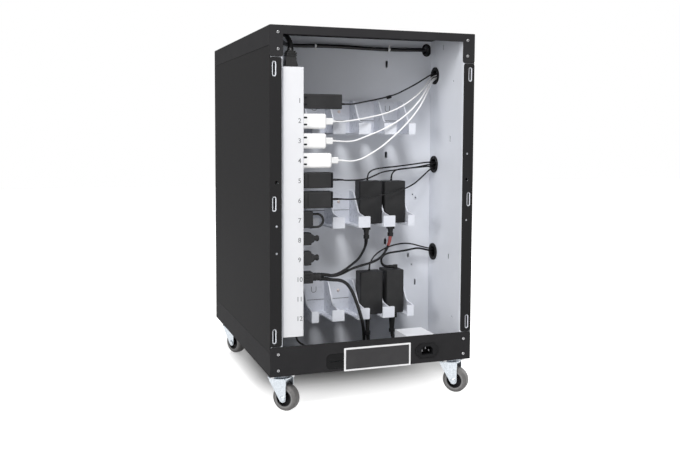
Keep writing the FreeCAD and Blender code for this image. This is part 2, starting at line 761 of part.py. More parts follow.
def make_adapters():
    black = piece("black_adapters")
    for number, length, tall, deep_size in BLACK_ADAPTERS:
        plug_block(black, number, length, tall, deep_size)
        if number == 1:
            relief(black, number, length, 3, 2.2, drop=4)
        else:
            relief(black, number, length, black_relief, 2.2)
    white = piece("usb_adapters")
    for number, length, tall, deep_size in USB_ADAPTERS:
        plug_block(white, number, length, tall, deep_size, 5)
    ends = [plain(plug_face - row[1]) for row in USB_ADAPTERS]
    soften(white, 4, lambda e: near(e.BoundBox.XMin, e.BoundBox.XMax)
           and any(near(e.BoundBox.XMin, end) for end in ends))
    for number, length, tall, deep_size in USB_ADAPTERS:
        pad(white, "YZ", plug_face - length - usb_plug, plug_face - length,
            rounded(strip_centre_y, outlet_z(number), 8, 12.5, 2))


def make_small_plugs():
    body = piece("outlet_plugs")
    for number, length, tall, deep_size in SMALL_PLUGS:
        plug_block(body, number, length, tall, deep_size)
        if number == 7:
            pull_loop(body, number, length)
        else:
            shoulder(body, number, length, 7)
            relief(body, number, length + 7, 10, 4.75)
            relief(body, number, length + 13, 2.5, 5.8)
    splitter = piece("splitter_plug")
    length = 21
    deep_size = 24
    plug_block(splitter, 10, length, 21, deep_size)
    side = strip_centre_y + deep_size / 2
    pocket(splitter, "XZ", side - 1.2, side, *[
        rounded(plug_face - length / 2, outlet_z(10) + step, 14, 2.4, 1) for step in (-5.6, 0, 5.6)])
    relief(splitter, 10, length, 17, 6.6)
    for start, thick, radius in ((1, 3, 7.8), (6, 3, 7.8), (12, 5, 7.5)):
        relief(splitter, 10, length + start, thick, radius)


# Moulded adapter holders

def make_holder(label, step):
    body = piece(label)
    reach = s.holder_reach
    wide = (s.rib_pitch * (s.rib_count - 1) + s.rib_thickness) / 2
    first = -wide
    rib_top = s.holder_height
    pad(body, "XZ", 0, s.holder_back, rounded(0, rib_top / 2, wide * 2, rib_top, 2))
    pocket(body, "XZ", s.holder_back - 0.8, s.holder_back, box(-wide + 2, 27, wide - 2, 28))
    front_y = reach - s.rib_thickness
    dip_y = front_y - 30
    crest_y = front_y - 60
    dip_z = s.lip_height + 4
    rib = pad(body, "YZ", first, first + s.rib_thickness, polygon(
        (1, 0), (front_y + 1, 0), (front_y + 1, s.lip_height),
        (dip_y, dip_z), (crest_y, rib_top), (1, rib_top)))
    repeat(body, [rib], "X_Axis", s.rib_pitch, s.rib_count)
    pad(body, "XY", 0, s.rib_thickness, box(first, s.holder_back, wide, front_y + 1))
    slot_x = first + (s.rib_pitch + s.rib_thickness) / 2
    slot_front = (s.rib_pitch - s.lip_width) / 2
    slot_back = s.slot_back_width / 2
    slot_end = s.slot_setback + slot_back
    wedge = pocket(body, "XY", 0, s.rib_thickness, polygon(
        (slot_x - slot_front, reach), (slot_x - slot_back, slot_end),
        (slot_x + slot_back, slot_end), (slot_x + slot_front, reach)))
    round_end = pocket(body, "XY", 0, s.rib_thickness, circle(slot_x, slot_end, slot_back))
    repeat(body, [wedge, round_end], "X_Axis", s.rib_pitch, s.rib_count - 1)
    half_lip = s.lip_width / 2
    centres = [s.rib_pitch * step for step in (-1, 0, 1)]
    lips = [box(c - half_lip, 0, c + half_lip, s.lip_height) for c in centres]
    half_lip += 2
    lips += [box(first, 0, first + half_lip, s.lip_height), box(wide - half_lip, 0, wide, s.lip_height)]
    pad(body, "XZ", front_y, reach, *lips)
    soften(body, 2, lambda e: runs_along(e, "y") and near(e.BoundBox.YMax, reach)
           and near(e.BoundBox.ZMin, s.lip_height) and abs(e.BoundBox.XMin) < plain(wide) - 1)
    for y, z in ((crest_y, rib_top), (dip_y, dip_z)):
        soften(body, 14, lambda e: runs_along(e, "x") and e.Length < 4
               and near(e.BoundBox.YMin, y) and near(e.BoundBox.ZMin, z))
    stand(body, 0, divider_face, up(s.holder_first + s.holder_pitch * step))


# Bricks and what plugs into them

def holder_floor(row):
    """Top of a holder's floor, rows counted from the bottom."""
    return up(s.holder_first + s.holder_pitch * row + s.rib_thickness)


# Row, pocket, shift from its middle, width, depth, distance from the divider, height
BRICKS = [
    (0, 3, 0, 49, 30, 32.5, 86),
    (0, 4, 1.5, 38, 45, 17.5, 87),
    (1, 3, 0, 49, 30, 25.5, 86),
    (1, 4, -0.5, 46, 30, 22.5, 85),
]

# Row, pocket, shift, middle from the divider, width, depth, reach below the floor, lower end, its taper
CONNECTORS = [
    (0, 3, 1.3, 43.5, 11, 9, 38, 6.5, 2.5),
    (0, 4, -0.5, 40.5, 18, 13, 38, 8, 5),
    (1, 3, 1, 32.5, 15, 11, 25, 8, 7),
    (1, 4, 1, 32.5, 15, 11, 22, 8, 7),
]
connector_neck = 14


def make_bricks():
    body = piece("power_bricks")
    for row, number, shift, width, depth, behind, height in BRICKS:
        floor = holder_floor(row)
        pad(body, "XY", floor, floor + height,
            rounded(pocket_x(number) + shift, divider_face + behind + depth / 2, width, depth, 4))
    soften(body, 2, lambda e: near(e.BoundBox.ZMin, e.BoundBox.ZMax) and e.BoundBox.ZMin
           in [tall.BoundBox.ZMax for tall in body.Tip.Shape.Solids])


def make_connectors():
    body = piece("brick_connectors")
    for row, number, shift, middle, width, depth, below, low_width, angle in CONNECTORS:
        floor = holder_floor(row)
        neck = floor - connector_neck
        x = pocket_x(number) + shift
        y = divider_face + middle
        pad(body, "XY", neck, floor, rounded(x, y, width, depth, 2))
        pad(body, "XY", floor - below, neck, rounded(x, y, low_width, low_width, 2), taper=angle)
    row, number, shift, width, depth, behind, height = BRICKS[1]
    elbow_foot = holder_floor(row) + height
    elbow_x = pocket_x(number) + shift - 8
    elbow_y = divider_face + behind + 24
    pad(body, "XY", elbow_foot, elbow_foot + 8, rounded(elbow_x, elbow_y, 8, 8, 1.5))
    pad(body, "YZ", elbow_x + 1, elbow_x + 13, circle(elbow_y, elbow_foot + 4.5, 3.3))


def make_strip_plug():
    body = piece("strip_plug")
    top_face = up(s.strip_bottom) + s.strip_length
    nose = [rounded(strip_centre_x, strip_centre_y, s.plug_width - 0.4, s.plug_deep - 0.4, 2.8)]
    pad(body, "XY", top_face - s.plug_nose, top_face, *nose)
    pad(body, "XY", top_face, top_face + 21,
        rounded(strip_centre_x, strip_centre_y, s.plug_width + 2, s.plug_deep + 3, 4), taper=-10)
    for start, end, wide, thick in ((21, 23.4, 23, 17), (23.4, 24.6, 20, 14), (24.6, 27, 23, 17),
                                    (27, 28.2, 18, 13), (28.2, 30.2, 19, 14)):
        pad(body, "XY", top_face + start, top_face + end,
            rounded(strip_centre_x, strip_centre_y, wide, thick, 5))
    pad(body, "XY", top_face + 30.2, top_face + 36, circle(strip_centre_x, strip_centre_y, 6.8), taper=-14)


# Rubber, inlet and fasteners

def make_grommets():
    body = piece("cable_grommets")
    y, z = grommet_spots()[0]
    wall = inner + s.liner_steel
    thick = 2.5
    inside = pad(body, "YZ", -inner, -inner + thick, circle(y, z, s.grommet_hole / 2 + 2))
    middle = pad(body, "YZ", -wall, -inner, circle(y, z, s.grommet_hole / 2))
    outside = pad(body, "YZ", -wall - thick, -wall, circle(y, z, s.grommet_hole / 2 + 2))
    bore = pocket(body, "YZ", -wall - thick, -inner + thick, circle(y, z, s.grommet_hole / 2 - 3.5))
    repeat(body, [inside, middle, outside, bore], "Z_Axis", s.grommet_pitch, 3)
    x = oblong_x
    z = up(oblong_height)
    rim = 1.5
    back = divider_face - s.liner_steel
    for start, end, grow in ((divider_face, divider_face + rim, 4), (back, divider_face, 0),
                             (back - rim, back, 4)):
        pad(body, "XZ", start, end, slot(x, z, oblong_width + grow, oblong_tall + grow))
    pocket(body, "XZ", back - rim, divider_face + rim, slot(x, z, oblong_width - 2, oblong_tall - 2))


def make_gland():
    body = piece("slit_gland")
    x = across(gland_in)
    z = up(gland_height)
    wall = rear - s.steel
    flange = 2.5
    face = rear - 0.4
    pad(body, "XZ", wall - flange, wall, rounded(x, z, gland_width + 6, gland_tall + 6, gland_radius + 3))
    pad(body, "XZ", wall, face, rounded(x, z, gland_width, gland_tall, gland_radius))
    pocket(body, "XZ", wall - flange, face, slot(x, z, gland_width - 10, 1.4))


def make_inlet():
    body = piece("mains_inlet")
    x = across(s.inlet_in)
    z = up(s.inlet_height)
    pad(body, "XZ", rear, rear + s.rear_proud, polygon(
        (x - 25, z - 4), (x - 15, z - 13.7), (x + 15, z - 13.7), (x + 25, z - 4),
        (x + 25, z + 4), (x + 15, z + 13.7), (x - 15, z + 13.7), (x - 25, z + 4)))
    floor = rear - 15
    pad(body, "XZ", floor - 3, rear, rounded(x, z, s.inlet_width, s.inlet_tall, inlet_corner))
    pocket(body, "XZ", floor, rear + s.rear_proud, polygon(
        (x - 12, z - 8), (x + 12, z - 8), (x + 12, z + 3), (x + 7, z + 8), (x - 7, z + 8), (x - 12, z + 3)))
    pocket(body, "XZ", rear, rear + s.rear_proud, *inlet_screw_holes(x, z))
    pins = piece("inlet_pins")
    pad(pins, "XZ", floor, floor + 9, box(x - 8, z - 4, x - 6, z), box(x + 6, z - 4, x + 8, z),
        box(x - 1, z + 1, x + 1, z + 5))


def make_inlet_cover():
    body = piece("inlet_cover")
    left = across(s.inlet_in - 42.5)
    right = left - s.cover_width
    back = rear - s.steel
    wall = back - s.cover_depth
    low = shelf_floor
    high = up(s.base_rear_height + 0.6)
    pad(body, "XY", low, high, box(right, wall, left, back))
    pocket(body, "XY", low, high - s.steel, box(right + s.steel, wall + s.steel, left - s.steel, back))
    for plane, start, along, z, radius in (("YZ", left - s.steel, deep(30), 26, 2.2),
                                           ("XZ", wall, left - 15.5, 25, 3)):
        pocket(body, plane, start, start + s.steel, circle(along, up(z), radius))


def make_fasteners():
    body = piece("fasteners")
    spots = rivet_spots()
    skin = rear - s.steel - s.liner_steel
    dome_angle = 29
    crown = s.rivet_head / 2 - s.rivet_proud * math.tan(math.radians(dome_angle))
    pad(body, "XZ", rear, rear + s.rivet_proud, *[circle(x, z, crown) for x, z in spots], taper=dome_angle)
    pad(body, "XZ", skin, rear, *[circle(x, z, s.rivet_shank / 2) for x, z in spots])
    pad(body, "XZ", skin - 1.2, skin, *[circle(x, z, s.rivet_shank / 2 + 1) for x, z in spots])
    plate_low = foot - s.plate_thickness
    bolts = bolt_spots()
    head = 3
    pad(body, "XY", plate_low, shelf_floor, *[circle(x, y, s.bolt_diameter / 2) for x, y in bolts])
    pad(body, "XY", plate_low - head, plate_low, *[hexagon(x, y, s.bolt_diameter * 0.92) for x, y in bolts])
    pad(body, "XY", shelf_floor, shelf_floor + head, *[circle(x, y, s.bolt_diameter * 0.8) for x, y in bolts])


def hexagon(x, y, radius):
    turns = [math.pi / 3 * i for i in range(6)]
    return polygon(*[(x + radius * math.cos(t), y + radius * math.sin(t)) for t in turns])


# Door with its handle

door_half = half - s.front_flange - s.door_gap
door_low = side_low + s.door_gap
door_high = side_high - s.door_gap
lock_x = door_half - s.lock_in
lock_z = door_high - s.lock_drop
cam_back = front + 8
cam_front = front + 5.5
cam_width = 16
cam_length = 43
cam_drop = (cam_length - cam_width) / 2
spindle = 5


def make_door():
    body = piece("door_panel")
    back = front + s.door_thickness
    pad(body, "XY", door_low, door_high, box(-door_half, front, door_half, back))
    pocket(body, "XY", door_low + s.steel, door_high - s.steel,
           box(-door_half + s.steel, front + s.steel, door_half - s.steel, back))
    pocket(body, "XY", door_low, door_high, circle(hinge_x, hinge_y, s.hinge_pin_diameter / 2))
    pocket(body, "XZ", front, front + s.steel, circle(lock_x, lock_z, spindle + s.fit_gap))
    pocket(body, "YZ", door_half - s.steel, door_half,
           box(cam_front - 1, lock_z - 25, cam_back + 1, lock_z + 10))
    columns = [s.vent_length * 1.5 * step for step in (-1, 0, 1)]
    low_vents = pocket(body, "XZ", front, front + s.steel, *[
        slot(x, door_low + s.vent_edge, s.vent_length, s.vent_width) for x in columns])
    high_vents = pocket(body, "XZ", front, front + s.steel, *[
        slot(x, door_high - s.vent_edge, s.vent_length, s.vent_width) for x in columns])
    repeat(body, [low_vents], "Z_Axis", s.vent_pitch, s.vent_count)
    repeat(body, [high_vents], "Z_Axis", s.vent_pitch, s.vent_count, backwards=True)


def make_hinge_pins():
    body = piece("door_hinge_pins")
    pin = [circle(hinge_x, hinge_y, s.hinge_pin_diameter / 2)]
    collar = [circle(hinge_x, hinge_y, 6)]
    pad(body, "XY", side_low - s.steel - 2, door_low + s.steel, *pin)
    pad(body, "XY", side_low + s.seat_gap, door_low, *collar)
    pad(body, "XY", door_high - s.steel, side_high + s.steel + 2, *pin)
    pad(body, "XY", door_high, side_high - s.seat_gap, *collar)


def make_handle():
    body = piece("door_handle")
    reach = front - s.handle_reach
    rose = 13
    lever_thick = 8
    lever_wide = 22
    lever_long = 98
    lever_x = lock_x + rose - lever_long / 2
    pad(body, "XZ", front - s.seat_gap, cam_back, circle(lock_x, lock_z, spindle))
    pad(body, "XZ", reach + lever_thick, front - s.seat_gap, circle(lock_x, lock_z, rose))
    pad(body, "XZ", reach, reach + lever_thick, slot(lever_x, lock_z, lever_long, lever_wide))
    soften(body, 2.5, lambda e: near(e.BoundBox.YMin, reach) and near(e.BoundBox.YMax, reach))
    cam = piece("lock_cam")
    pad(cam, "XZ", cam_front, cam_back, slot(lock_x, lock_z - cam_drop, cam_width, cam_length))
    pocket(cam, "XZ", cam_front, cam_back, circle(lock_x, lock_z, spindle))


# Casters, drawn about their own swivel axes

axle_height = s.wheel_diameter / 2
crown_low = 61
crown_radius = 23
race_radius = 15
kingpin = 4
TURNS = [224, 224, 208, 215]


def make_caster_plates():
    body = piece("caster_plates")
    low = foot - s.plate_thickness
    pad(body, "XY", low, foot, *[rounded(x, y, s.plate_size, s.plate_size, 4) for x, y in caster_spots()])
    pocket(body, "XY", low, foot, *[circle(x, y, s.bolt_diameter / 2) for x, y in bolt_spots()])
    head_high = crown_low - s.seat_gap
    head_low = head_high - 3
    pad(body, "XY", head_low, low, *[circle(x, y, kingpin) for x, y in caster_spots()])
    pad(body, "XY", head_low, head_high, *[circle(x, y, kingpin + 3) for x, y in caster_spots()])


def at_caster(body, number):
    """Place a piece of a caster under its plate, turned as it stands."""
    x, y = caster_spots()[number - 1]
    body.Placement = FreeCAD.Placement(Vector(), FreeCAD.Rotation(Vector(0, 0, 1), TURNS[number - 1]))
    stand(body, x, y, 0)


def make_caster(number):
    axle_y = -s.caster_trail
    crown_high = foot - s.plate_thickness - s.seat_gap
    leg_in = s.wheel_width / 2 + 2.5
    leg_out = leg_in + s.fork_steel
    boss = 7
    toe = 15
    fork = piece("caster_fork_%d" % number)
    revolve(fork, polygon((0, crown_low), (crown_radius, crown_low), (crown_radius, crown_low + s.fork_steel),
                          (race_radius + 1.5, crown_low + s.fork_steel + 1.5),
                          (race_radius, crown_high), (0, crown_high)))
    for side in (1, -1):
        low, high = (leg_in, leg_out) if side > 0 else (-leg_out, -leg_in)
        pad(fork, "YZ", low, high, polygon(
            (axle_y - boss, crown_low + 1), (axle_y - boss, axle_height), (axle_y, axle_height - 2),
            (axle_y + boss * 0.8, axle_height - boss * 0.6), (toe, crown_low - 4), (toe, crown_low + 1)))
        pad(fork, "YZ", low, high, circle(axle_y, axle_height, boss))
    pad(fork, "YZ", -leg_out - 1.6, leg_out + 1.6, circle(axle_y, axle_height, s.axle_diameter / 2))
    pocket(fork, "XY", crown_low, crown_high, circle(0, 0, kingpin + s.fit_gap))
    at_caster(fork, number)
    hub = piece("caster_hub_%d" % number)
    hub_half = s.wheel_width / 2 - 0.5
    dish = 4
    rim = s.hub_diameter / 2
    pad(hub, "YZ", -hub_half, hub_half, circle(axle_y, axle_height, rim - s.fit_gap))
    for side in (1, -1):
        low, high = (hub_half - dish, hub_half) if side > 0 else (-hub_half, -hub_half + dish)
        pocket(hub, "YZ", low, high, circle(axle_y, axle_height, rim - 2), circle(axle_y, axle_height, 7))
    end = leg_in - s.seat_gap
    pad(hub, "YZ", -end, end, circle(axle_y, axle_height, 6))
    pocket(hub, "YZ", -leg_in, leg_in, circle(axle_y, axle_height, s.axle_diameter / 2 + s.fit_gap))
    at_caster(hub, number)
    tyre = piece("caster_tyre_%d" % number)
    half_width = s.wheel_width / 2
    pad(tyre, "YZ", -half_width, half_width, circle(axle_y, axle_height, s.wheel_diameter / 2),
        circle(axle_y, axle_height, rim))
    soften(tyre, 5.5, lambda e: near(e.BoundBox.ZMin, 0))
    at_caster(tyre, number)


# Cords, each a list of places: from the side, from the rear, above the base's underside

CORDS = {
    "mains_lead": (7.5, [
        (46.5, 27.5, 602.5), (46.5, 27.5, 611), (43, 34, 622.5), (38.5, 50, 629.5), (40, 73, 627), (49, 97, 620),
        (66, 118, 617), (95, 133, 618), (130, 138, 620), (180, 140.5, 620.5), (226, 140, 619), (287, 138, 618),
        (330, 138.5, 619), (356, 138, 620), (370.5, 140.3, 620.3), (375.5, 151, 620), (375.5, 166, 615)]),
    "adapter_cord_1": (3, [
        (145, 27.5, 501.5), (154, 27.5, 501.5), (168, 34, 501.5), (204, 54, 508), (248, 75, 516),
        (284, 90, 525), (305, 98, 534), (335, 110, 547), (362, 117.5, 562), (378, 120.3, 570),
        (392, 121, 571.5)]),
    "adapter_cord_2": (3, [
        (127.5, 27.5, 469), (136, 27.5, 469), (149, 33, 468.8), (171, 39, 471), (192, 44, 474.5), (223, 51, 480),
        (254, 58, 487.6), (279, 66, 496.6), (316, 84, 514.5), (350, 106, 536), (371, 122, 557), (382, 126, 566),
        (392, 127.3, 568)]),
    "adapter_cord_3": (3, [
        (127.5, 27.5, 432.5), (137, 27.5, 432.5), (155, 33.5, 431), (176, 39, 432), (194, 43, 438),
        (230, 49, 450.7), (260, 52, 464), (283, 56, 477.4), (311, 69, 496), (341, 89, 521), (368, 111, 551),
        (380, 118.2, 561.5), (392, 119.5, 563.5)]),
    "adapter_cord_4": (3, [
        (138.5, 27.5, 396), (148, 27.5, 396), (166, 33, 393), (192, 38, 398), (214, 43, 409), (236, 47, 421),
        (251, 50, 432), (274, 54, 449.6), (299, 61, 471), (322, 73, 491.3), (343, 88, 513.7), (365, 108, 541),
        (380, 122, 558), (392, 125, 561)]),
    "adapter_cord_5": (3, [
        (135, 27.5, 359.5), (145, 27.5, 359.5), (158, 35, 357.5), (184, 50, 356.6), (211, 64, 357.5),
        (235, 78, 364), (254, 88, 370), (288, 102, 373), (338, 114, 377), (374, 120, 383), (392, 120.5, 386)]),
    "adapter_cord_6": (3, [
        (135, 27.5, 323), (145, 27.5, 323), (162, 36, 321), (190, 56, 319.6), (221, 71, 320), (249, 79, 324),
        (277, 84, 329), (306, 88.5, 336), (331, 99, 345), (358, 112, 362), (377, 120, 375),
        (392, 121.5, 378)]),
    "splitter_cord_1": (5, [
        (104, 24.5, 180.5), (115, 24.5, 180.5), (130, 32, 177), (146, 41, 178), (164, 50, 184),
        (182, 64, 190.5), (200, 77, 198), (214, 90, 209), (225, 103, 220), (230.5, 113, 230),
        (230.5, 113, 241)]),
    "splitter_cord_2": (5, [
        (104, 30.5, 180), (115, 30.5, 180), (130, 38, 174), (146, 47, 173.5), (163, 54, 177), (180, 60, 183),
        (204, 72, 186), (221, 80, 187.5), (239, 88, 190.5), (253, 94, 195), (265, 101, 203), (275, 107, 215),
        (283.5, 113, 232), (283.5, 113, 244)]),
    "splitter_cord_3": (6.5, [
        (104, 27.5, 172.8), (115, 27.5, 172.8), (130, 33, 168), (146, 37, 166.5), (161, 42, 160),
        (172, 46, 148), (181, 48.5, 131.5), (188, 50.3, 114), (194.5, 51, 96.5), (200, 52, 78), (206, 61, 60),
        (211, 72, 43), (216, 83, 27), (224, 95, 14), (234.5, 103, 20), (230.2, 102, 35), (230.2, 102, 46)]),
    "strip_cord": (3.5, [
        (57, 27, 71), (57, 27, 62), (65, 28, 52), (78, 27.5, 45), (98, 26, 36), (128, 25, 26), (166, 24.5, 20),
        (206, 25.5, 18), (243, 28, 21), (261, 29.7, 25), (275, 30, 26)]),
    "cover_cord": (5, [
        (285, 105, 46), (285, 105, 37), (285.5, 98, 27), (286.5, 87, 21.5), (288, 71, 23.5), (288, 56, 25)]),
    "output_cord_1": (3, [
        (232, 113, 352), (232, 113, 360), (236, 113.3, 369), (247, 113, 374.5), (264, 113.6, 377),
        (292, 115, 379), (322, 118, 382), (350, 122, 385), (373, 126, 387.4), (392, 128, 387.5)]),
    "output_cord_2": (3, [
        (284, 113, 351), (284, 113, 359), (287.5, 112.3, 368.5), (298, 113, 373.5), (314, 115, 375),
        (336, 119, 376.2), (360, 123.5, 377.6), (377, 126.5, 379), (392, 127.5, 379.4)]),
    "output_cord_3": (3, [
        (233.5, 103, 170), (233.5, 103, 178), (237, 104, 188), (246, 106, 199), (258.5, 109, 207),
        (278, 113, 214.5), (298, 117, 218.5), (318, 119, 220), (336, 119.5, 217.5), (354, 119, 212),
        (373, 120, 207), (392, 121, 203.5)]),
    "output_cord_4": (4, [
        (278, 104, 175.5), (269, 104, 175.5), (260.5, 104, 182), (260, 104.3, 192), (266.5, 105.5, 199.5),
        (278, 107.5, 203), (294, 110, 204), (316, 114.5, 205), (334, 118.5, 207), (350, 123, 208),
        (368, 126, 204), (392, 127.5, 197.5)]),
}


# A cord keeps to the strip on one side, to the holders in the middle and to the liner on the other
STRETCHES = [(0, half), (145, across(145)), (205, 0), (310, -105), (360, -half + 50), (410, -half)]


def cord_x(distance):
    """X of a cord's place."""
    for (start, first), (end, last) in zip(STRETCHES, STRETCHES[1:]):
        if distance <= end:
            return plain(first) + plain(last - first) * (distance - start) / (end - start)


def make_cord(label, diameter, route):
    """A round cord of straight runs, with a tangent arc at every place between its ends."""
    places = [Vector(cord_x(u), plain(deep(v)), plain(up(z))) for u, v, z in route]
    edges = []
    start = places[0]
    tightest = None
    for before, corner, after in zip(places, places[1:], places[2:]):
        into = corner - before
        out = after - corner
        turn = into.getAngle(out)
        reach = 0.45 * min(into.Length, out.Length)
        radius = reach / math.tan(turn / 2)
        tightest = radius if tightest is None else min(tightest, radius)
        into.normalize()
        out.normalize()
        first = corner - into * reach
        last = corner + out * reach
        inward = (out - into).normalize()
        middle = corner + inward * (radius / math.cos(turn / 2) - radius)
        edges.append(Part.LineSegment(start, first).toShape())
        edges.append(Part.Arc(first, middle, last).toShape())
        start = last
    edges.append(Part.LineSegment(start, places[-1]).toShape())
    spine = Part.Wire(edges)
    heading = (places[1] - places[0]).normalize()
    section = Part.Wire([Part.Circle(places[0], heading, diameter / 2).toShape()])
    body = doc.addObject("Part::Feature", label)
    body.Label = label
    body.Shape = spine.makePipeShell([section], True, False)
    expected = math.pi * diameter * diameter / 4 * spine.Length
    print("%s length %.0f tightest %.1f volume %.4f of expected" % (
        label, spine.Length, tightest, body.Shape.Volume / expected))
    pieces.append(body)


# Write the files

def write():
    doc.recompute()
    faults = []
    for thing in doc.Objects:
        if "Invalid" in thing.State or "Error" in thing.State:
            faults.append("%s: %s" % (thing.Name, thing.State))
    for body in pieces:
        if body.Shape.isNull() or not body.Shape.isValid() or not body.Shape.Solids:
            faults.append("%s has no valid solid" % body.Label)
    if faults:
        raise RuntimeError("; ".join(faults))
    os.makedirs("parts", exist_ok=True)
    for body in pieces:
        body.Shape.exportStep("parts/%s.step" % body.Label)


make_base_tray()
make_top_cap()
make_side_panel("side_panel_left", 1)
make_side_panel("side_panel_right", -1)
make_liner("liner_left", 1)
make_liner("liner_right", -1)
make_divider()
make_lead_duct()
make_shelves()
make_power_strip()
make_outlets()
make_adapters()
make_small_plugs()
for holder_step, holder_name in enumerate(("holder_bottom", "holder_middle", "holder_top")):
    make_holder(holder_name, holder_step)
make_strip_plug()
make_bricks()
make_connectors()
make_grommets()
make_gland()
make_inlet()
make_inlet_cover()
make_fasteners()
make_door()
make_hinge_pins()
make_handle()
make_caster_plates()
for caster_number in (1, 2, 3, 4):
    make_caster(caster_number)
for cord_name, (cord_diameter, cord_route) in CORDS.items():
    make_cord(cord_name, cord_diameter, cord_route)
write()
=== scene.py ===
import json
import math

import bmesh
import bpy
from mathutils import Matrix, Vector

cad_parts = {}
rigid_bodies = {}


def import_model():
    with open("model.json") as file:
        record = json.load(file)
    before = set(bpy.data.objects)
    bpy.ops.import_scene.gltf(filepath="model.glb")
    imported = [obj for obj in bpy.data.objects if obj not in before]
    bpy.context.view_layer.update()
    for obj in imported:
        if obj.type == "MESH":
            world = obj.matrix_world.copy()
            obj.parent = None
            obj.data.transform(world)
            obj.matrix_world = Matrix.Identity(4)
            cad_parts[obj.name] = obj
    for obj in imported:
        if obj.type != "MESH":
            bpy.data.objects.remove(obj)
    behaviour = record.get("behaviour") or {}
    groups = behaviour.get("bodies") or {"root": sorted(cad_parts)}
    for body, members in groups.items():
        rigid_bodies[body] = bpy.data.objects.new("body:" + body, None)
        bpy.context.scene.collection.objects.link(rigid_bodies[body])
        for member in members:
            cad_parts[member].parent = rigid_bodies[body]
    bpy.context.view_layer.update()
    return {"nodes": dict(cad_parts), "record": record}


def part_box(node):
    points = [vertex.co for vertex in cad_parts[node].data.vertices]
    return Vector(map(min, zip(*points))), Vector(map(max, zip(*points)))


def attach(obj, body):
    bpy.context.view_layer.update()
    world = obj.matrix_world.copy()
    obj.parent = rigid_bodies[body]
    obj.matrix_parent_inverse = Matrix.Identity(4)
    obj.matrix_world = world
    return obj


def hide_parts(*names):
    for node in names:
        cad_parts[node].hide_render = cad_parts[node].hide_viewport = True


# A charging cabinet on casters, seen from behind with its rear cover off.
# Places are given in millimetres: from the +X side, from the rear face inwards, and up from the
# underside of the base. Colours are linear.

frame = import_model()
nodes = frame["nodes"]
MM = 0.001
tray_low, tray_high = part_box("base_tray")
half_width, rear_face, foot = tray_high.x, tray_high.y, tray_low.z
strip_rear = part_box("power_strip")[1].y
scene = bpy.context.scene
LEFTWARD, RIGHTWARD, UPWARD, BACKWARD = (1, 0, 0), (-1, 0, 0), (0, 0, 1), (0, 1, 0)

# Places of the part's outlets, adapters, holders, rivets and seams, in millimetres
OUTLET_COUNT = 12
OUTLET_FIRST = 505.5
OUTLET_PITCH = 36.5
ADAPTER_FACE = 13.5
HOLDER_BACK_FACE = 142
RIVET_ACROSS = 15.5
RIVET_MIDDLE = 319.25
RIVET_PAIR = 292.75
RIVET_HALF_PITCH = 15
SIDE_SEAMS = (44.1, 603.9)

SHARP_ANGLE = math.radians(40)


def place(across, deep, up):
    """A place given in millimetres, as a vector of the frame in metres."""
    return Vector((half_width - across * MM, rear_face - deep * MM, foot + up * MM))


def outlet_height(number):
    """An outlet's height in millimetres; the first is the top one."""
    return OUTLET_FIRST - OUTLET_PITCH * (number - 1)


# Materials


def map_range(tree, source, start, end, low, high, kind="LINEAR"):
    """The source's values from start to end, stretched between low and high."""
    node = tree.nodes.new("ShaderNodeMapRange")
    node.interpolation_type = kind
    for name, value in (("From Min", start), ("From Max", end),
                        ("To Min", low), ("To Max", high)):
        node.inputs[name].default_value = value
    tree.links.new(source, node.inputs["Value"])
    return node.outputs["Result"]


def folded_length(tree, spot, steps):
    """The length of a vector after some steps of vector maths."""
    for operation, values in steps + [("LENGTH", None)]:
        node = tree.nodes.new("ShaderNodeVectorMath")
        node.operation = operation
        if values:
            node.inputs[1].default_value = values
        tree.links.new(spot, node.inputs[0])
        spot = node.outputs[0]
    return node.outputs["Value"]


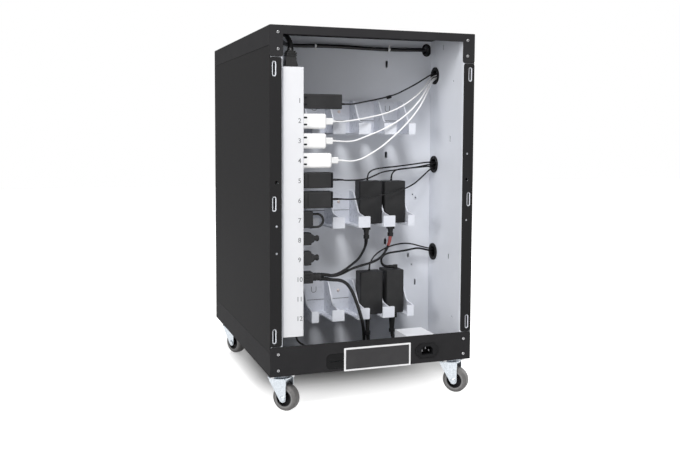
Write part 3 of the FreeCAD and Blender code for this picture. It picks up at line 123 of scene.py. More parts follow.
class Shade:
    """A principled material whose colour, roughness and bump come from nodes."""

    def __init__(self, name, **values):
        self.material = bpy.data.materials.new(name)
        self.material.use_nodes = True
        self.tree = self.material.node_tree
        self.shader = self.tree.nodes["Principled BSDF"]
        self.spot = self.new("ShaderNodeTexCoord").outputs["Object"]
        self.bumps = None
        for socket, value in values.items():
            self.shader.inputs[socket.replace("_", " ")].default_value = value

    def new(self, kind, **settings):
        node = self.tree.nodes.new(kind)
        for key, value in settings.items():
            setattr(node, key, value)
        return node

    def wire(self, output, target):
        self.tree.links.new(output, target)

    def noise(self, size, detail=3.0, roughness=0.5):
        """Noise whose grains are about size metres across, from 0 to 1."""
        node = self.new("ShaderNodeTexNoise")
        node.inputs["Scale"].default_value = 1 / size
        node.inputs["Detail"].default_value = detail
        node.inputs["Roughness"].default_value = roughness
        self.wire(self.spot, node.inputs["Vector"])
        return node.outputs["Fac"]

    def spread(self, source, low, high, start=0.3, end=0.7):
        """The source's values from start to end, stretched between low and high."""
        return map_range(self.tree, source, start, end, low, high)

    def colour(self, source, dark, light):
        """A base colour from dark to light, as the source rises."""
        node = self.new("ShaderNodeValToRGB")
        first, last = node.color_ramp.elements
        first.position, last.position = 0.3, 0.7
        first.color, last.color = (*dark, 1), (*light, 1)
        self.wire(source, node.inputs["Fac"])
        self.wire(node.outputs["Color"], self.shader.inputs["Base Color"])

    def band(self, axis, levels, width):
        """0 in narrow bands at some levels along an axis of the object, and 1 elsewhere."""
        apart = self.new("ShaderNodeSeparateXYZ")
        self.wire(self.spot, apart.inputs[0])
        clear = None
        for level in levels:
            shift = self.new("ShaderNodeMath", operation="SUBTRACT")
            shift.inputs[1].default_value = level
            self.wire(apart.outputs[axis], shift.inputs[0])
            size = self.new("ShaderNodeMath", operation="ABSOLUTE")
            self.wire(shift.outputs[0], size.inputs[0])
            away = self.spread(size.outputs[0], 0, 1, width * 0.4, width)
            if clear:
                both = self.new("ShaderNodeMath", operation="MINIMUM")
                self.wire(clear, both.inputs[0])
                self.wire(away, both.inputs[1])
                away = both.outputs[0]
            clear = away
        return clear

    def rough(self, source, low, high):
        """A roughness from low to high, as the source rises."""
        self.wire(self.spread(source, low, high), self.shader.inputs["Roughness"])

    def bump(self, source, depth, strength):
        """Relief as deep as depth, in metres, where the source is 1."""
        node = self.new("ShaderNodeBump")
        node.inputs["Distance"].default_value = depth
        node.inputs["Strength"].default_value = strength
        self.wire(source, node.inputs["Height"])
        self.add_normal(node)

    def soft_edges(self, radius):
        """Folded and moulded edges are rounded, so they catch the light."""
        node = self.new("ShaderNodeBevel", samples=4)
        node.inputs["Radius"].default_value = radius
        self.add_normal(node)

    def add_normal(self, node):
        """Put a node that bends the surface on top of those before it."""
        if self.bumps:
            self.wire(self.bumps, node.inputs["Normal"])
        self.bumps = node.outputs["Normal"]
        self.wire(self.bumps, self.shader.inputs["Normal"])


def powder_coat(name, dark, light, low, high, specular=0.5, joints=None,
                skin_depth=0.00008):
    """Baked powder coat: a fine orange-peel skin, with a dark line where sheets meet."""
    shade = Shade(name, Specular_IOR_Level=specular)
    tone = shade.noise(0.05, 4)
    if joints:
        line = shade.band("Z", joints, 0.0011)
        tone = shade.spread(line, 0, 0.6, 0, 1)
    shade.colour(tone, dark, light)
    shade.rough(shade.noise(0.004, 3), low, high)
    shade.bump(shade.noise(0.0011, 2), skin_depth, 0.3)
    if joints:
        shade.bump(line, 0.0006, 0.8)
    shade.soft_edges(0.0011)
    return shade.material


def moulded(name, dark, light, low, high, grain=0.0006, depth=0.00008, edge=0.0008,
            specular=0.5):
    """Moulded plastic with a spark-eroded grain and flow marks."""
    shade = Shade(name, Specular_IOR_Level=specular)
    shade.colour(shade.noise(0.03, 4), dark, light)
    shade.rough(shade.noise(0.008, 3), low, high)
    shade.bump(shade.noise(grain, 2), depth, 0.4)
    shade.soft_edges(edge)
    return shade.material


def rivet_bores(shade):
    """0 in the bores of the eight corner rivets, where their shade is painted dark, and 1 outside
    them.
    """
    bore, rim = 0.9 * MM, 1.4 * MM
    # Folding the rear face over its middle lines brings the rivets to one place
    away = folded_length(shade.tree, shade.spot, [
        ("SUBTRACT", (0, 0, foot + RIVET_MIDDLE * MM)),
        ("ABSOLUTE", None),
        ("SUBTRACT", (half_width - RIVET_ACROSS * MM, 0, RIVET_PAIR * MM)),
        ("ABSOLUTE", None),
        ("SUBTRACT", (0, 0, RIVET_HALF_PITCH * MM)),
        ("MULTIPLY", (1, 0, 1))])
    return shade.spread(away, 0, 1, bore, rim)


def bare_metal(name, dark, light, low, high, shaded_bores=False):
    """Plated steel with a crystalline bloom, or with painted shade in the bores of the rivets."""
    shade = Shade(name, Metallic=1.0)
    shade.colour(rivet_bores(shade) if shaded_bores else shade.noise(0.004, 5, 0.7), dark, light)
    shade.rough(shade.noise(0.0015, 3, 0.6), low, high)
    shade.bump(shade.noise(0.0009, 3, 0.5), 0.00006, 0.4)
    shade.soft_edges(0.0004)
    return shade.material


def rubber(name, dark, light, low=0.55, high=0.75):
    """Soft rubber with a dusty bloom."""
    shade = Shade(name, Specular_IOR_Level=0.2)
    shade.colour(shade.noise(0.006, 5, 0.65), dark, light)
    shade.rough(shade.noise(0.002, 3), low, high)
    shade.bump(shade.noise(0.0005, 2), 0.0001, 0.4)
    return shade.material


def cord_jacket(name, dark, light):
    """Extruded jacket: faint length marks and a satin skin."""
    shade = Shade(name, Specular_IOR_Level=0.3)
    shade.colour(shade.noise(0.01, 4), dark, light)
    shade.rough(shade.noise(0.003, 3), 0.32, 0.5)
    shade.bump(shade.noise(0.0008, 2), 0.00008, 0.3)
    return shade.material


def tyre_rubber(name, dark, light):
    """Grey non-marking rubber with a scuffed skin."""
    shade = Shade(name, Specular_IOR_Level=0.3)
    shade.colour(shade.noise(0.005, 6, 0.7), dark, light)
    shade.rough(shade.noise(0.002, 3), 0.42, 0.62)
    shade.bump(shade.noise(0.0012, 3), 0.00015, 0.4)
    return shade.material


# Each look has its dark and its light colour, then its lowest and its highest roughness
BLACK_COAT = powder_coat("BlackCoat", (0.028, 0.0275, 0.029), (0.032, 0.0315, 0.033),
                         0.54, 0.58, specular=0.01)
# The side panels' coat is painted darker than the black coat, as painted shade on the sides, with
# dark lines where sheets meet
SHADED_SIDE_COAT = powder_coat("ShadedSideCoat", (0.002, 0.002, 0.002), (0.031, 0.0305, 0.0315),
                        0.54, 0.58, specular=0.01,
                        joints=[foot + level * MM for level in SIDE_SEAMS])
WHITE_COAT = powder_coat("WhiteCoat", (0.67, 0.69, 0.74), (0.695, 0.715, 0.765),
                         0.3, 0.36, specular=0.4, skin_depth=0.00002)
STRIP_COAT = powder_coat("StripCoat", (0.68, 0.685, 0.71), (0.70, 0.705, 0.73),
                         0.34, 0.42, skin_depth=0.00002)
HOLDER = moulded("HolderPlastic", (0.64, 0.66, 0.72), (0.70, 0.72, 0.78), 0.24, 0.38)
WHITE_PLASTIC = moulded("WhitePlastic", (0.84, 0.84, 0.84), (0.89, 0.89, 0.89),
                        0.18, 0.3, grain=0.0015, depth=0.00003)
GREY_PLASTIC = moulded("GreyPlastic", (0.76, 0.77, 0.80), (0.82, 0.83, 0.86), 0.3, 0.45)
BLACK_PLASTIC = moulded("BlackPlastic", (0.015, 0.015, 0.016), (0.022, 0.022, 0.023),
                        0.4, 0.55, grain=0.0007, depth=0.0001, specular=0.22)
DARK_PLASTIC = moulded("DarkPlastic", (0.007, 0.007, 0.008), (0.012, 0.012, 0.013),
                       0.3, 0.45, specular=0.1)
BLACK_RUBBER = rubber("BlackRubber", (0.006, 0.006, 0.0065), (0.012, 0.012, 0.013))
GLOSS_BLACK = moulded("GlossBlack", (0.008, 0.008, 0.0085), (0.014, 0.014, 0.0145),
                      0.16, 0.26, grain=0.0012, depth=0.00003, edge=0.0012,
                      specular=0.4)
# Glossy gland rubber, also used for the painted shade at the long adapters' far ends
GLAND_RUBBER_AND_SHADE = moulded("GlandRubberAndShade", (0.003, 0.003, 0.0035), (0.006, 0.006, 0.0065),
                       0.16, 0.26, grain=0.003, depth=0.00004, edge=0.0012,
                       specular=0.12)
PLATED = bare_metal("PlatedSteel", (0.50, 0.50, 0.52), (0.72, 0.72, 0.74), 0.22, 0.36)
DULL_STEEL = bare_metal("DullSteel", (0.16, 0.16, 0.17), (0.26, 0.26, 0.27), 0.35, 0.5)
ZINC = bare_metal("ZincPlate", (0.40, 0.43, 0.46), (0.58, 0.62, 0.66), 0.2, 0.36)
# The rivets' bores are painted dark, as painted shade in their holes
RIVET_STEEL_AND_BORE_SHADE = bare_metal("RivetSteelAndBoreShade", (0.01, 0.01, 0.01), (0.50, 0.50, 0.51),
                         0.25, 0.4, shaded_bores=True)
TYRE = tyre_rubber("GreyTyre", (0.115, 0.112, 0.11), (0.165, 0.16, 0.157))
SIDEWALL = tyre_rubber("TyreSidewall", (0.19, 0.187, 0.187), (0.24, 0.237, 0.237))
BLACK_CORD = cord_jacket("BlackCord", (0.006, 0.006, 0.0065), (0.011, 0.011, 0.012))
WHITE_CORD = cord_jacket("WhiteCord", (0.88, 0.88, 0.89), (0.93, 0.93, 0.94))
DIGIT = rubber("DigitPrint", (0.17, 0.175, 0.18), (0.22, 0.225, 0.23), 0.5, 0.6)
# Dark marks for cut lines and openings, also used as painted shade in the holders' grooves
DARK_MARK_AND_SHADE = rubber("DarkMarkAndShade", (0.012, 0.012, 0.013), (0.024, 0.024, 0.026), 0.45, 0.6)
RED_SLEEVE = cord_jacket("RedSleeve", (0.34, 0.085, 0.08), (0.46, 0.12, 0.11))
COPPER = bare_metal("CopperScrew", (0.60, 0.52, 0.49), (0.72, 0.63, 0.60), 0.35, 0.5)
PLATE_FACE = moulded("PlateFace", (0.026, 0.025, 0.027), (0.034, 0.033, 0.035),
                     0.34, 0.46, grain=0.002, depth=0.00002, edge=0.0002,
                     specular=0.25)
PLATE_RIM = moulded("PlateRim", (0.80, 0.80, 0.81), (0.86, 0.86, 0.87),
                    0.3, 0.42, grain=0.002, depth=0.00002, edge=0.0002)

MATERIALS = {
    "black_coat": BLACK_COAT, "white_coat": WHITE_COAT, "white_strip": STRIP_COAT,
    "white_plastic": WHITE_PLASTIC, "holder_plastic": HOLDER, "black_plastic": BLACK_PLASTIC,
    "dark_plastic": DARK_PLASTIC, "grey_plastic": GREY_PLASTIC, "black_rubber": BLACK_RUBBER,
    "plated_steel": PLATED, "zinc_plate": ZINC, "grey_tyre": TYRE, "black_cord": BLACK_CORD,
    "white_cord": WHITE_CORD,
}

# Nodes that look a little different from the rest of their slot; the side panels' darker coat is
# painted shade
OWN_LOOKS = {
    "side_panel_left": SHADED_SIDE_COAT, "side_panel_right": SHADED_SIDE_COAT, "slit_gland": GLAND_RUBBER_AND_SHADE,
    "inlet_pins": DULL_STEEL, "fasteners": RIVET_STEEL_AND_BORE_SHADE, "strip_plug": GLOSS_BLACK,
}


def dress_frame():
    """Give every node of the frame its material."""
    for entry in frame["record"]["subparts"]:
        name = entry["node"]
        look = OWN_LOOKS.get(name, MATERIALS[entry["material_slot"]])
        nodes[name].data.materials.clear()
        nodes[name].data.materials.append(look)


# Mesh pieces


def add_piece(name, mesh, material, body):
    """A visible piece of a mesh, smooth but for its edges, that moves with a body."""
    mesh.polygons.foreach_set("use_smooth", [True] * len(mesh.polygons))
    mesh.set_sharp_from_angle(angle=SHARP_ANGLE)
    mesh.materials.append(material)
    piece = bpy.data.objects.new(name, mesh)
    scene.collection.objects.link(piece)
    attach(piece, body)
    return piece


def frame_of(direction):
    """Two unit vectors square to a direction, and the direction itself."""
    z = Vector(direction).normalized()
    x = Vector((0, 0, 1)).cross(z) if abs(z.z) < 0.9 else Vector((1, 0, 0)).cross(z)
    x.normalize()
    return x, z.cross(x), z


def skin(name, rings, caps, material, body):
    """A closed surface through rings of as many places each."""
    steps = len(rings[0])
    verts = [tuple(spot) for ring in rings for spot in ring]
    faces = []
    for a in range(0, len(verts) - steps, steps):
        for i in range(steps):
            j = (i + 1) % steps
            faces.append((a + i, a + j, a + steps + j, a + steps + i))
    if caps:
        faces.append(tuple(reversed(range(steps))))
        faces.append(tuple(range(len(verts) - steps, len(verts))))
    mesh = bpy.data.meshes.new(name)
    mesh.from_pydata(verts, [], faces)
    mesh.update()
    return add_piece(name, mesh, material, body)


def ring_about(centre, x, y, radius, steps):
    """Places on a circle whose radius is in millimetres."""
    turns = [2 * math.pi * i / steps for i in range(steps)]
    return [centre + (x * math.cos(turn) + y * math.sin(turn)) * radius * MM for turn in turns]


def turned(name, start, direction, profile, material, body, steps=28, caps=True):
    """A lathe form about a line: the profile's places are radius and distance, in millimetres."""
    x, y, z = frame_of(direction)
    rings = [ring_about(start + z * along * MM, x, y, radius, steps) for radius, along in profile]
    return skin(name, rings, caps, material, body)


def tube(name, spots, radii, material, steps=16):
    """A round form that follows a row of places, with its own radius at each."""
    ways = [(b - a).normalized() for a, b in zip(spots, spots[1:])]
    ways = [ways[0]] + [(a + b).normalized() for a, b in zip(ways, ways[1:])] + [ways[-1]]
    x = frame_of(ways[0])[0]
    rings = []
    for spot, way, radius in zip(spots, ways, radii):
        x = (x - way * x.dot(way)).normalized()
        rings.append(ring_about(spot, x, way.cross(x), radius, steps))
    return skin(name, rings, True, material, "cabinet")


def slab(name, centre, size, thick, radius, material, edge=0.25,
         right=RIGHTWARD, up=UPWARD):
    """A plate with rounded corners and eased edges that stands out of a face, in millimetres."""
    right, up = Vector(right).normalized(), Vector(up).normalized()
    out = right.cross(up)
    bm = bmesh.new()
    rim = []
    corner_steps = 5
    half_w, half_h = size[0] / 2 - radius, size[1] / 2 - radius
    for quarter, (sx, sy) in enumerate(((1, 1), (-1, 1), (-1, -1), (1, -1))):
        for i in range(corner_steps + 1):
            turn = math.pi / 2 * (quarter + i / corner_steps)
            rim.append((sx * half_w + radius * math.cos(turn),
                        sy * half_h + radius * math.sin(turn)))
    verts = [bm.verts.new(centre + (right * a + up * b) * MM) for a, b in rim]
    face = bm.faces.new(verts)
    grown = bmesh.ops.extrude_face_region(bm, geom=[face])
    moved = [v for v in grown["geom"] if isinstance(v, bmesh.types.BMVert)]
    bmesh.ops.translate(bm, verts=moved, vec=out * thick * MM)
    top = [e for e in bm.edges if all(v in moved for v in e.verts)]
    if edge:
        bmesh.ops.bevel(bm, geom=top, offset=edge * MM, segments=2, affect="EDGES")
    bmesh.ops.recalc_face_normals(bm, faces=bm.faces)
    mesh = bpy.data.meshes.new(name)
    bm.to_mesh(mesh)
    bm.free()
    return add_piece(name, mesh, material, "cabinet")


# Cords: diameter, length, stiffness, slot, and the places that pull on the line

ROUTES = {
    "mains_lead": (7.5, 450, "medium", "black_cord", [
        (46.5, 27.5, 602.5), (46.5, 27.5, 611), (43, 34, 622.5), (38.5, 50, 629.5), (40, 73, 627),
        (49, 97, 620), (66, 118, 617), (95, 133, 618), (130, 138, 620), (180, 140.5, 620.5),
        (226, 140, 619), (287, 138, 618), (330, 138.5, 619), (356, 138, 620),
        (370.5, 140.3, 620.3), (375.5, 151, 620), (375.5, 166, 615)]),
    "adapter_cord_1": (3, 278, "medium", "black_cord", [
        (145, 27.5, 501.5), (154, 27.5, 501.5), (168, 34, 501.5), (204, 54, 508), (248, 75, 516),
        (284, 90, 525), (305, 98, 534), (335, 110, 547), (362, 117.5, 562), (378, 120.3, 570),
        (392, 121, 571.5)]),
    "adapter_cord_2": (3, 309, "limp", "white_cord", [
        (127.5, 27.5, 469), (136, 27.5, 469), (149, 33, 468.8), (171, 39, 471), (192, 44, 474.5),
        (223, 51, 480), (254, 58, 487.6), (279, 66, 496.6), (316, 84, 514.5), (350, 106, 536),
        (371, 122, 557), (382, 126, 566), (392, 127.3, 568)]),
    "adapter_cord_3": (3, 323, "limp", "white_cord", [
        (127.5, 27.5, 432.5), (137, 27.5, 432.5), (155, 33.5, 431), (176, 39, 432), (194, 43, 438),
        (230, 49, 450.7), (260, 52, 464), (283, 56, 477.4), (311, 69, 496), (341, 89, 521),
        (368, 111, 551), (380, 118.2, 561.5), (392, 119.5, 563.5)]),
    "adapter_cord_4": (3, 334, "limp", "white_cord", [
        (138.5, 27.5, 396), (148, 27.5, 396), (166, 33, 393), (192, 38, 398), (214, 43, 409),
        (236, 47, 421), (251, 50, 432), (274, 54, 449.6), (299, 61, 471), (322, 73, 491.3),
        (343, 88, 513.7), (365, 108, 541), (380, 122, 558), (392, 125, 561)]),
    "adapter_cord_5": (3, 280, "medium", "black_cord", [
        (135, 27.5, 359.5), (145, 27.5, 359.5), (158, 35, 357.5), (184, 50, 356.6),
        (211, 64, 357.5), (235, 78, 364), (254, 88, 370), (288, 102, 373), (338, 114, 377),
        (374, 120, 383), (392, 120.5, 386)]),
    "adapter_cord_6": (3, 288, "medium", "black_cord", [
        (135, 27.5, 323), (145, 27.5, 323), (162, 36, 321), (190, 56, 319.6), (221, 71, 320),
        (249, 79, 324), (277, 84, 329), (306, 88.5, 336), (331, 99, 345), (358, 112, 362),
        (377, 120, 375), (392, 121.5, 378)]),
    "splitter_cord_1": (5, 182, "medium", "black_cord", [
        (104, 24.5, 180.5), (115, 24.5, 180.5), (130, 32, 177), (146, 41, 178), (164, 50, 184),
        (182, 64, 190.5), (200, 77, 198), (214, 90, 209), (225, 103, 220), (230.5, 113, 230),
        (230.5, 113, 241)]),
    "splitter_cord_2": (5, 230, "medium", "black_cord", [
        (104, 30.5, 180), (115, 30.5, 180), (130, 38, 174), (146, 47, 173.5), (163, 54, 177),
        (180, 60, 183), (204, 72, 186), (221, 80, 187.5), (239, 88, 190.5), (253, 94, 195),
        (265, 101, 203), (275, 107, 215), (283.5, 113, 232), (283.5, 113, 244)]),
    "splitter_cord_3": (6.5, 272, "medium", "black_cord", [
        (104, 27.5, 172.8), (115, 27.5, 172.8), (130, 33, 168), (146, 37, 166.5), (161, 42, 160),
        (172, 46, 148), (181, 48.5, 131.5), (188, 50.3, 114), (194.5, 51, 96.5), (200, 52, 78),
        (206, 61, 60), (211, 72, 43), (216, 83, 27), (224, 95, 14), (234.5, 103, 20),
        (230.2, 102, 35), (230.2, 102, 46)]),
    "strip_cord": (3.5, 238, "limp", "black_cord", [
        (57, 27, 71), (57, 27, 62), (65, 28, 52), (78, 27.5, 45), (98, 26, 36), (128, 25, 26),
        (166, 24.5, 20), (206, 25.5, 18), (243, 28, 21), (261, 29.7, 25), (275, 30, 26)]),
    "cover_cord": (5, 64, "medium", "black_cord", [
        (285, 105, 46), (285, 105, 37), (285.5, 98, 27), (286.5, 87, 21.5), (288, 71, 23.5),
        (288, 56, 25)]),
    "output_cord_1": (3, 176, "limp", "black_cord", [
        (232, 113, 352), (232, 113, 360), (236, 113.3, 369), (247, 113, 374.5), (264, 113.6, 377),
        (292, 115, 379), (322, 118, 382), (350, 122, 385), (373, 126, 387.4), (392, 128, 387.5)]),
    "output_cord_2": (3, 125, "limp", "black_cord", [
        (284, 113, 351), (284, 113, 359), (287.5, 112.3, 368.5), (298, 113, 373.5),
        (314, 115, 375), (336, 119, 376.2), (360, 123.5, 377.6), (377, 126.5, 379),
        (392, 127.5, 379.4)]),
    "output_cord_3": (3, 186, "limp", "black_cord", [
        (233.5, 103, 170), (233.5, 103, 178), (237, 104, 188), (246, 106, 199), (258.5, 109, 207),
        (278, 113, 214.5), (298, 117, 218.5), (318, 119, 220), (336, 119.5, 217.5),
        (354, 119, 212), (373, 120, 207), (392, 121, 203.5)]),
    "output_cord_4": (4, 168, "limp", "black_cord", [
        (278, 104, 175.5), (269, 104, 175.5), (260.5, 104, 182), (260, 104.3, 192),
        (266.5, 105.5, 199.5), (278, 107.5, 203), (294, 110, 204), (316, 114.5, 205),
        (334, 118.5, 207), (350, 123, 208), (368, 126, 204), (392, 127.5, 197.5)]),
}


def make_cord(name, diameter, length, stiffness, slot_name, route):
    """A cord's jacket along a smooth line, in the place of its solid."""
    curve = bpy.data.curves.new(name + "_line", "CURVE")
    curve.dimensions = "3D"
    curve.bevel_depth = diameter / 2 * MM
    curve.bevel_resolution = 4
    curve.resolution_u = 8
    curve.use_fill_caps = True
    spline = curve.splines.new("NURBS")
    spline.points.add(len(route) - 1)
    for point, spot in zip(spline.points, route):
        point.co = (*place(*spot), 1)
    spline.order_u = 3
    spline.use_endpoint_u = True
    curve.materials.append(MATERIALS[slot_name])
    piece = bpy.data.objects.new(name + "_jacket", curve)
    scene.collection.objects.link(piece)
    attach(piece, "cabinet")
    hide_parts(name)


def cord_spots(name, start, end):
    """Places along a cord between two distances from its start, or from its end if negative."""
    # The line is the jacket's own quadratic one, worked out place by place
    points = [place(*spot) for spot in ROUTES[name][-1]]
    if start < 0:
        points.reverse()
        start, end = -start, -end
    spans = len(points) - 2
    knots = [0, 0] + list(range(spans + 1)) + [spans, spans]
    steps, shortest = 24, 0.6 * MM
    line = []
    for step in range(spans * steps + 1):
        at = step / steps
        k = min(int(at), spans - 1) + 2
        d = points[k - 2:k + 1]
        for r in (1, 2):
            for j in range(2, r - 1, -1):
                low, high = knots[j + k - 2], knots[j + 1 + k - r]
                d[j] = d[j - 1].lerp(d[j], (at - low) / (high - low))
        line.append(d[2])
    found, run = [], 0.0
    for before, spot in zip([line[0]] + line, line):
        run += (spot - before).length / MM
        if start - 0.01 <= run <= end and (not found or (spot - found[-1]).length > shortest):
            found.append(spot)
    return found


def relief(name, cord, start, end, wide, thin, ribs=0.0, slot_name="black_rubber", look=None):
    """A tapered sleeve on a cord, from one distance to another, with ribs as deep as stated."""
    spots = cord_spots(cord, start, end)
    last = len(spots) - 1
    radii = []
    for i in range(last + 1):
        radius = wide + (thin - wide) * i / last
        if ribs and i % 4 in (2, 3) and 1 < i < last - 1:
            radius -= ribs
        radii.append(radius)
    tube(name, spots, radii, look or MATERIALS[slot_name])


def make_reliefs():
    """What keeps the cords from kinking where they leave a housing."""
    relief("relief_mains", "mains_lead", 0.01, 24, 5.4, 4.2, 0.55)
    for number in (5, 6):
        relief("relief_adapter_%d" % number, "adapter_cord_%d" % number, 0.01, 14, 2.2, 1.65, 0.2)
    relief("relief_adapter_1", "adapter_cord_1", 0.01, 8, 2.2, 1.65)
    for number in (2, 3, 4):
        relief("relief_usb_%d" % number, "adapter_cord_%d" % number, 0.01, 8, 2.5, 1.7, 0.25,
               "white_plastic")
    for number, wide in ((1, 4), (2, None), (3, 4.4)):
        cord = "splitter_cord_%d" % number
        thin = ROUTES[cord][0] / 2 + 0.2
        relief("neck_socket_%d" % number, cord, -0.01, -8, 6, 5.7, slot_name="black_plastic")
        if wide:
            relief("relief_socket_%d" % number, cord, -7, -28, wide, thin, 0.4)
        relief("relief_split_%d" % number, cord, 0.01, 22, thin + 1.1, thin, 0.6)
    relief("neck_cover", "cover_cord", 0.01, 7, 6, 5.7, slot_name="black_plastic")
    relief("relief_cover", "cover_cord", 6, 27, 4, 2.8, 0.4)
    for number, far, more in ((1, 8, 0.8), (2, 8, 0.8), (3, 8, 0.8), (4, 30, 1.0)):
        cord = "output_cord_%d" % number
        thin = ROUTES[cord][0] / 2 + 0.1
        relief("relief_output_%d" % number, cord, 0.01, far, thin + more, thin, 0.25)
    relief("red_sleeve", "splitter_cord_2", -7, -29, 3.7, 2.9, 0.0, "black_cord", RED_SLEEVE)


def make_clip():
    """The small clip on the uppermost adapter's cord."""
    line = cord_spots("adapter_cord_1", 120, 160)
    clip_x = place(264.5, 0, 0).x
    middle = min(line, key=lambda spot: abs(spot.x - clip_x))
    way = (line[-1] - line[0]).normalized()
    out = Vector(BACKWARD)
    out = (out - way * out.dot(way)).normalized()
    side = out.cross(way)
    thick, drop = 4.8, 1.2
    slab("cord_clip", middle - out * thick / 2 * MM - side * drop * MM, (10.4, 6.4), thick, 1.2,
         DARK_PLASTIC, 0.5, way, side)


# Numbers beside the outlets


def make_numbers():
    """The outlets' numbers, printed on the strip's rear face."""
    across, clear = 57.5, 0.05 * MM
    for number in range(1, OUTLET_COUNT + 1):
        text = bpy.data.curves.new("number_%02d_text" % number, "FONT")
        text.body = str(number)
        text.size = 0.0124
        text.offset = 0.00012
        text.extrude = 0.00004
        text.align_x, text.align_y = "CENTER", "CENTER"
        text.materials.append(DIGIT)
        piece = bpy.data.objects.new("number_%02d" % number, text)
        scene.collection.objects.link(piece)
        spot = place(across, 0, outlet_height(number))
        piece.location = (spot.x, strip_rear + clear, spot.z)
        piece.rotation_euler = (math.pi / 2, 0, math.pi)
        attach(piece, "cabinet")


# Plate, ties, screws and marks


def make_plate():
    """The bare plate on the base, with its pale rim."""
    across, up, thick = 212.1, 20.5, 0.45
    slab("plate_rim", place(across, 0, up), (137, 44.6), thick, 1.2, PLATE_RIM)
    slab("plate_face", place(across, -thick, up), (129.9, 37.7), 0.12, 0.8, PLATE_FACE,
         0)


def make_tie(name, centre, along, radius, head_side, tail):
    """A cable tie: a band round a lead, its head and its cut tail."""
    along = Vector(along).normalized()
    head_side = Vector(head_side).normalized()
    side = head_side.cross(along)
    inner, outer, wide = radius + 0.1, radius + 1.1, 2.4
    head_sunk, tail_out = 0.4, 1.4
    turned(name + "_band", centre - along * wide / 2 * MM, along,
           [(inner, 0), (outer, 0), (outer, wide), (inner, wide), (inner, 0)], WHITE_PLASTIC,
           "cabinet", 24)
    head = centre + head_side * (outer - head_sunk) * MM
    slab(name + "_head", head, (3.6, 4.6), 3.0, 0.8, WHITE_PLASTIC,
         right=along, up=side)
    slab(name + "_tail", head + head_side * tail_out * MM + side * tail / 2 * MM,
         (wide, abs(tail)), 0.8, 0.5, WHITE_PLASTIC, right=along, up=side)


def make_ties():
    """The two ties that hold the mains lead under the top."""
    make_tie("tie_left", place(128, 138, 620), RIGHTWARD, 3.75, BACKWARD, -8)
    make_tie("tie_right", place(286, 138, 618), RIGHTWARD, 3.75, BACKWARD, 9)


def make_screw(name, spot, direction, radius, material):
    """A pan-head screw with a shallow dome."""
    profile = [(radius, 0), (radius, 0.25 * radius), (radius * 0.86, 0.45 * radius),
               (radius * 0.5, 0.6 * radius), (0.02, 0.64 * radius)]
    turned(name, spot, direction, profile, material, "cabinet", 20)


def make_screws():
    """The two screws of the mains inlet and one in the liner."""
    low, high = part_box("mains_inlet")
    middle = (low + high) / 2
    sunk = 1.6 * MM
    for number, offset in enumerate((20, -20), 1):
        spot = Vector((middle.x + offset * MM, high.y - sunk, middle.z))
        make_screw("inlet_screw_%d" % number, spot, BACKWARD, 2.3, DARK_PLASTIC)
    make_screw("liner_screw", place(388, 34.8, 78.4), LEFTWARD, 2.6, PLATED)


def make_adapter_marks():
    """Openings, part lines and painted shade on the adapters' rear faces."""
    for number in range(1, 5):
        material = DARK_PLASTIC if number == 1 else DARK_MARK_AND_SHADE
        for step, way in enumerate((6.35, -6.35), 1):
            spot = place(70.8, ADAPTER_FACE, outlet_height(number) + way)
            slab("adapter_%d_mark_%d" % (number, step), spot, (6.6, 3.4), 0.08, 1.4, material,
                 0)
    for number, tall in ((5, 26), (6, 28)):
        # The end band is painted shade along each long adapter's far end
        for part, across, wide in (("line", 76.2, 0.9), ("root", 67.8, 4), ("end", 122.6, 3)):
            spot = place(across, ADAPTER_FACE, outlet_height(number))
            slab("adapter_%d_%s" % (number, part), spot, (wide, tall), 0.06, 0.3, GLAND_RUBBER_AND_SHADE,
                 0)


def make_lances():
    """U-shaped lines cut round the tongues of the holders, and the screws beside them."""
    outline = [(-4.9, 5.6), (-4.9, 1.5), (-4.9, -2.2), (-4.2, -4.4), (-2.4, -5.8), (0, -6.2),
               (2.4, -5.8), (4.2, -4.4), (4.9, -2.2), (4.9, 1.5), (4.9, 5.6)]
    for row, (level, screw_level) in enumerate(((130, 125), (314, 307.5), (498, 490)), 1):
        for column, across in enumerate((128, 286.5), 1):
            spots = [place(across + u, HOLDER_BACK_FACE, level + z) for u, z in outline]
            tube("lance_%d_%d" % (row, column), spots, [0.45] * len(spots), DARK_MARK_AND_SHADE,
                 8)
        screw = place(180.5, HOLDER_BACK_FACE, screw_level)
        make_screw("holder_screw_%d" % row, screw, BACKWARD, 3.1, COPPER)


def make_grooves():
    """Painted shade: a dark line along the groove in each holder's back."""
    sunk, up, margin = 0.3, 27.5, 5
    deep = place(0, HOLDER_BACK_FACE + sunk, 0).y
    for name in ("holder_bottom", "holder_middle", "holder_top"):
        low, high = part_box(name)
        spot = Vector(((low.x + high.x) / 2, deep, low.z + up * MM))
        slab(name + "_groove_shade", spot, ((high.x - low.x) / MM - margin, 0.9), 0.1, 0.1, DARK_MARK_AND_SHADE,
             0)


def make_caster_trim():
    """Raceways, axle rivets and the pale line round each tyre."""
    race = [(15.1, 64.9), (16.6, 65.1), (17.3, 65.9), (16.6, 66.7), (15.1, 66.9)]
    rivet = [(5.6, 0), (5.6, 0.4), (4.9, 1.7), (3.2, 2.3), (0.05, 2.6)]
    sidewall = [(16.2, 0), (16.5, 0.35), (18.6, 0.35), (18.9, 0)]
    fork_face, tyre_face = 15.2, 10.45
    for joint in frame["record"]["behaviour"]["joints"]:
        spot, axis = Vector(joint["pos_m"]), Vector(joint["axis"])
        fork, child = joint["parent"], joint["child"]
        if joint["name"].startswith("caster_swivel"):
            turned("race_%s" % child, Vector((spot.x, spot.y, 0)), UPWARD, race, PLATED, child,
                   36, False)
        if joint["name"].startswith("caster_wheel"):
            for side, way in (("a", axis), ("b", -axis)):
                turned("axle_rivet_%s_%s" % (fork, side), spot + way * fork_face * MM, way,
                       rivet, ZINC, fork, 24)
                turned("sidewall_%s_%s" % (child, side), spot + way * tyre_face * MM, way,
                       sidewall, SIDEWALL, child, 48, False)


# Camera, surroundings and lamps


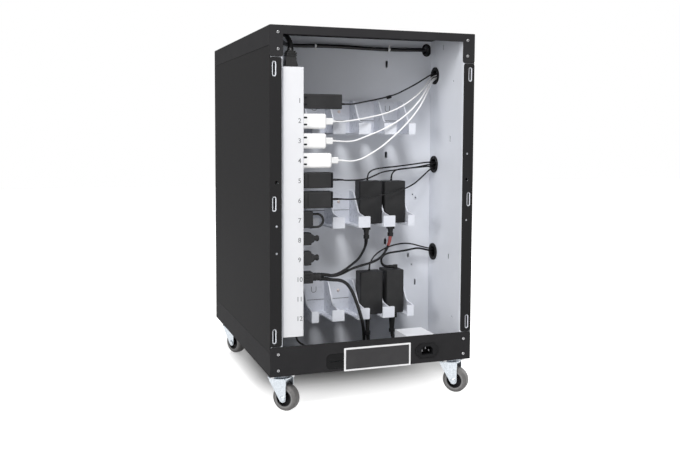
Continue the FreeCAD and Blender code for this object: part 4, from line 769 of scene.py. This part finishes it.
def make_camera():
    """The photograph's viewing angle."""
    yaw, pitch, roll = math.radians(19.276), math.radians(4.082), math.radians(0.254)
    level = math.cos(pitch)
    out = Vector((-math.sin(yaw) * level, -math.cos(yaw) * level, -math.sin(pitch)))
    side = Vector((-math.cos(yaw), math.sin(yaw), 0))
    up = side.cross(out)
    right = side * math.cos(roll) + up * math.sin(roll)
    up = up * math.cos(roll) - side * math.sin(roll)
    camera = bpy.data.cameras.new("Camera")
    camera.sensor_width = 36
    camera.lens = 43.45
    camera.shift_y = -0.05
    camera.clip_start, camera.clip_end = 0.05, 50
    eye = bpy.data.objects.new("Camera", camera)
    turn = Matrix((right, up, -out)).transposed().to_4x4()
    eye.matrix_world = Matrix.Translation(place(-367.2, -1433, 449.4)) @ turn
    scene.collection.objects.link(eye)
    scene.camera = eye


def make_light(name, spot, target, size, power):
    """A square lamp that faces its target."""
    lamp = bpy.data.lights.new(name, "AREA")
    lamp.shape = "RECTANGLE"
    lamp.size = lamp.size_y = size
    lamp.energy = power
    holder = bpy.data.objects.new(name, lamp)
    holder.location = spot
    holder.rotation_euler = (Vector(target) - Vector(spot)).to_track_quat("-Z", "Y").to_euler()
    scene.collection.objects.link(holder)


def seen_rays(tree, *outputs):
    """1 for rays of the named kinds, and 0 for the rest."""
    rays = tree.nodes.new("ShaderNodeLightPath")
    level = rays.outputs[outputs[0]]
    for name in outputs[1:]:
        either = tree.nodes.new("ShaderNodeMath")
        either.operation = "MAXIMUM"
        tree.links.new(level, either.inputs[0])
        tree.links.new(rays.outputs[name], either.inputs[1])
        level = either.outputs[0]
    return level


def make_surround():
    """A world that looks white and lights the object at a plain level."""
    world = bpy.data.worlds.new("Studio")
    scene.world = world
    world.use_nodes = True
    tree = world.node_tree
    background = tree.nodes["Background"]
    background.inputs["Color"].default_value = (1, 1, 1, 1)
    seen = seen_rays(tree, "Is Camera Ray", "Is Glossy Ray", "Is Transmission Ray")
    light_level, seen_level = 0.32, 1.0
    strength = map_range(tree, seen, 0, 1, light_level, seen_level)
    tree.links.new(strength, background.inputs["Strength"])


def make_floor():
    """A pale floor that keeps the cabinet's shadow, adds a painted shadow under it, and is clear
    from below.
    """
    mesh = bpy.data.meshes.new("Floor")
    reach = 6
    corners = [(-reach, -reach, 0), (reach, -reach, 0), (reach, reach, 0), (-reach, reach, 0)]
    mesh.from_pydata(corners, [], [(0, 1, 2, 3)])
    material = bpy.data.materials.new("Floor")
    material.use_nodes = True
    tree = material.node_tree
    shader = tree.nodes["Principled BSDF"]
    shader.inputs["Base Color"].default_value = (0.6, 0.6, 0.6, 1)
    shader.inputs["Roughness"].default_value = 0.7
    shader.inputs["Specular IOR Level"].default_value = 0.1
    shader.inputs["Emission Color"].default_value = (1, 1, 1, 1)

    # The floor's glow is a painted shadow: it glows more the further it lies from a rectangle
    # under the cabinet, up to white, and a metre across the cabinet counts for more than a metre
    # along it
    shadow_middle, shadow_half = (-0.05, -0.1, 0), (0.185, 0.13, 0)
    counts = (2.6, 1, 1)
    fade, darkest, palest = 0.21, 0.03, 0.93
    spot = tree.nodes.new("ShaderNodeTexCoord").outputs["Object"]
    away = folded_length(tree, spot, [
        ("SUBTRACT", shadow_middle), ("ABSOLUTE", None), ("SUBTRACT", shadow_half),
        ("MAXIMUM", (0, 0, 0)), ("MULTIPLY", counts)])
    painted_shadow_glow = map_range(tree, away, 0.0, fade, darkest, palest, "SMOOTHSTEP")
    seen = seen_rays(tree, "Is Camera Ray", "Is Glossy Ray")
    lift = tree.nodes.new("ShaderNodeMath")
    lift.operation = "MULTIPLY"
    tree.links.new(painted_shadow_glow, lift.inputs[0])
    tree.links.new(seen, lift.inputs[1])
    tree.links.new(lift.outputs[0], shader.inputs["Emission Strength"])

    clear = tree.nodes.new("ShaderNodeBsdfTransparent")
    side = tree.nodes.new("ShaderNodeNewGeometry")
    either = tree.nodes.new("ShaderNodeMixShader")
    tree.links.new(side.outputs["Backfacing"], either.inputs["Fac"])
    tree.links.new(shader.outputs["BSDF"], either.inputs[1])
    tree.links.new(clear.outputs["BSDF"], either.inputs[2])
    surface = tree.nodes["Material Output"].inputs["Surface"]
    tree.links.new(either.outputs["Shader"], surface)
    mesh.materials.append(material)
    floor = bpy.data.objects.new("Floor", mesh)
    scene.collection.objects.link(floor)


def make_lights():
    """A high key lamp behind the open rear, one on the strip's side, two for the far sides."""
    make_light("KeyBox", (0.45, 1.65, 2.15), (0, 0.1, 0.4), 0.7, 45)
    make_light("SideBox", (2.1, 1.25, 0.9), (0, 0.1, 0.4), 0.9, 22)
    make_light("FrontBox", (-0.7, -2.3, 1.5), (0, 0, 0.35), 1.4, 36)
    make_light("FarBox", (-2.3, -0.3, 1.2), (0, 0, 0.35), 1.4, 26)


dress_frame()
for cord_name, facts in ROUTES.items():
    make_cord(cord_name, *facts)
make_numbers()
make_plate()
make_ties()
make_screws()
make_reliefs()
make_clip()
make_adapter_marks()
make_lances()
make_grooves()
make_caster_trim()
make_camera()
make_surround()
make_floor()
make_lights()

scene.view_settings.view_transform = "Standard"
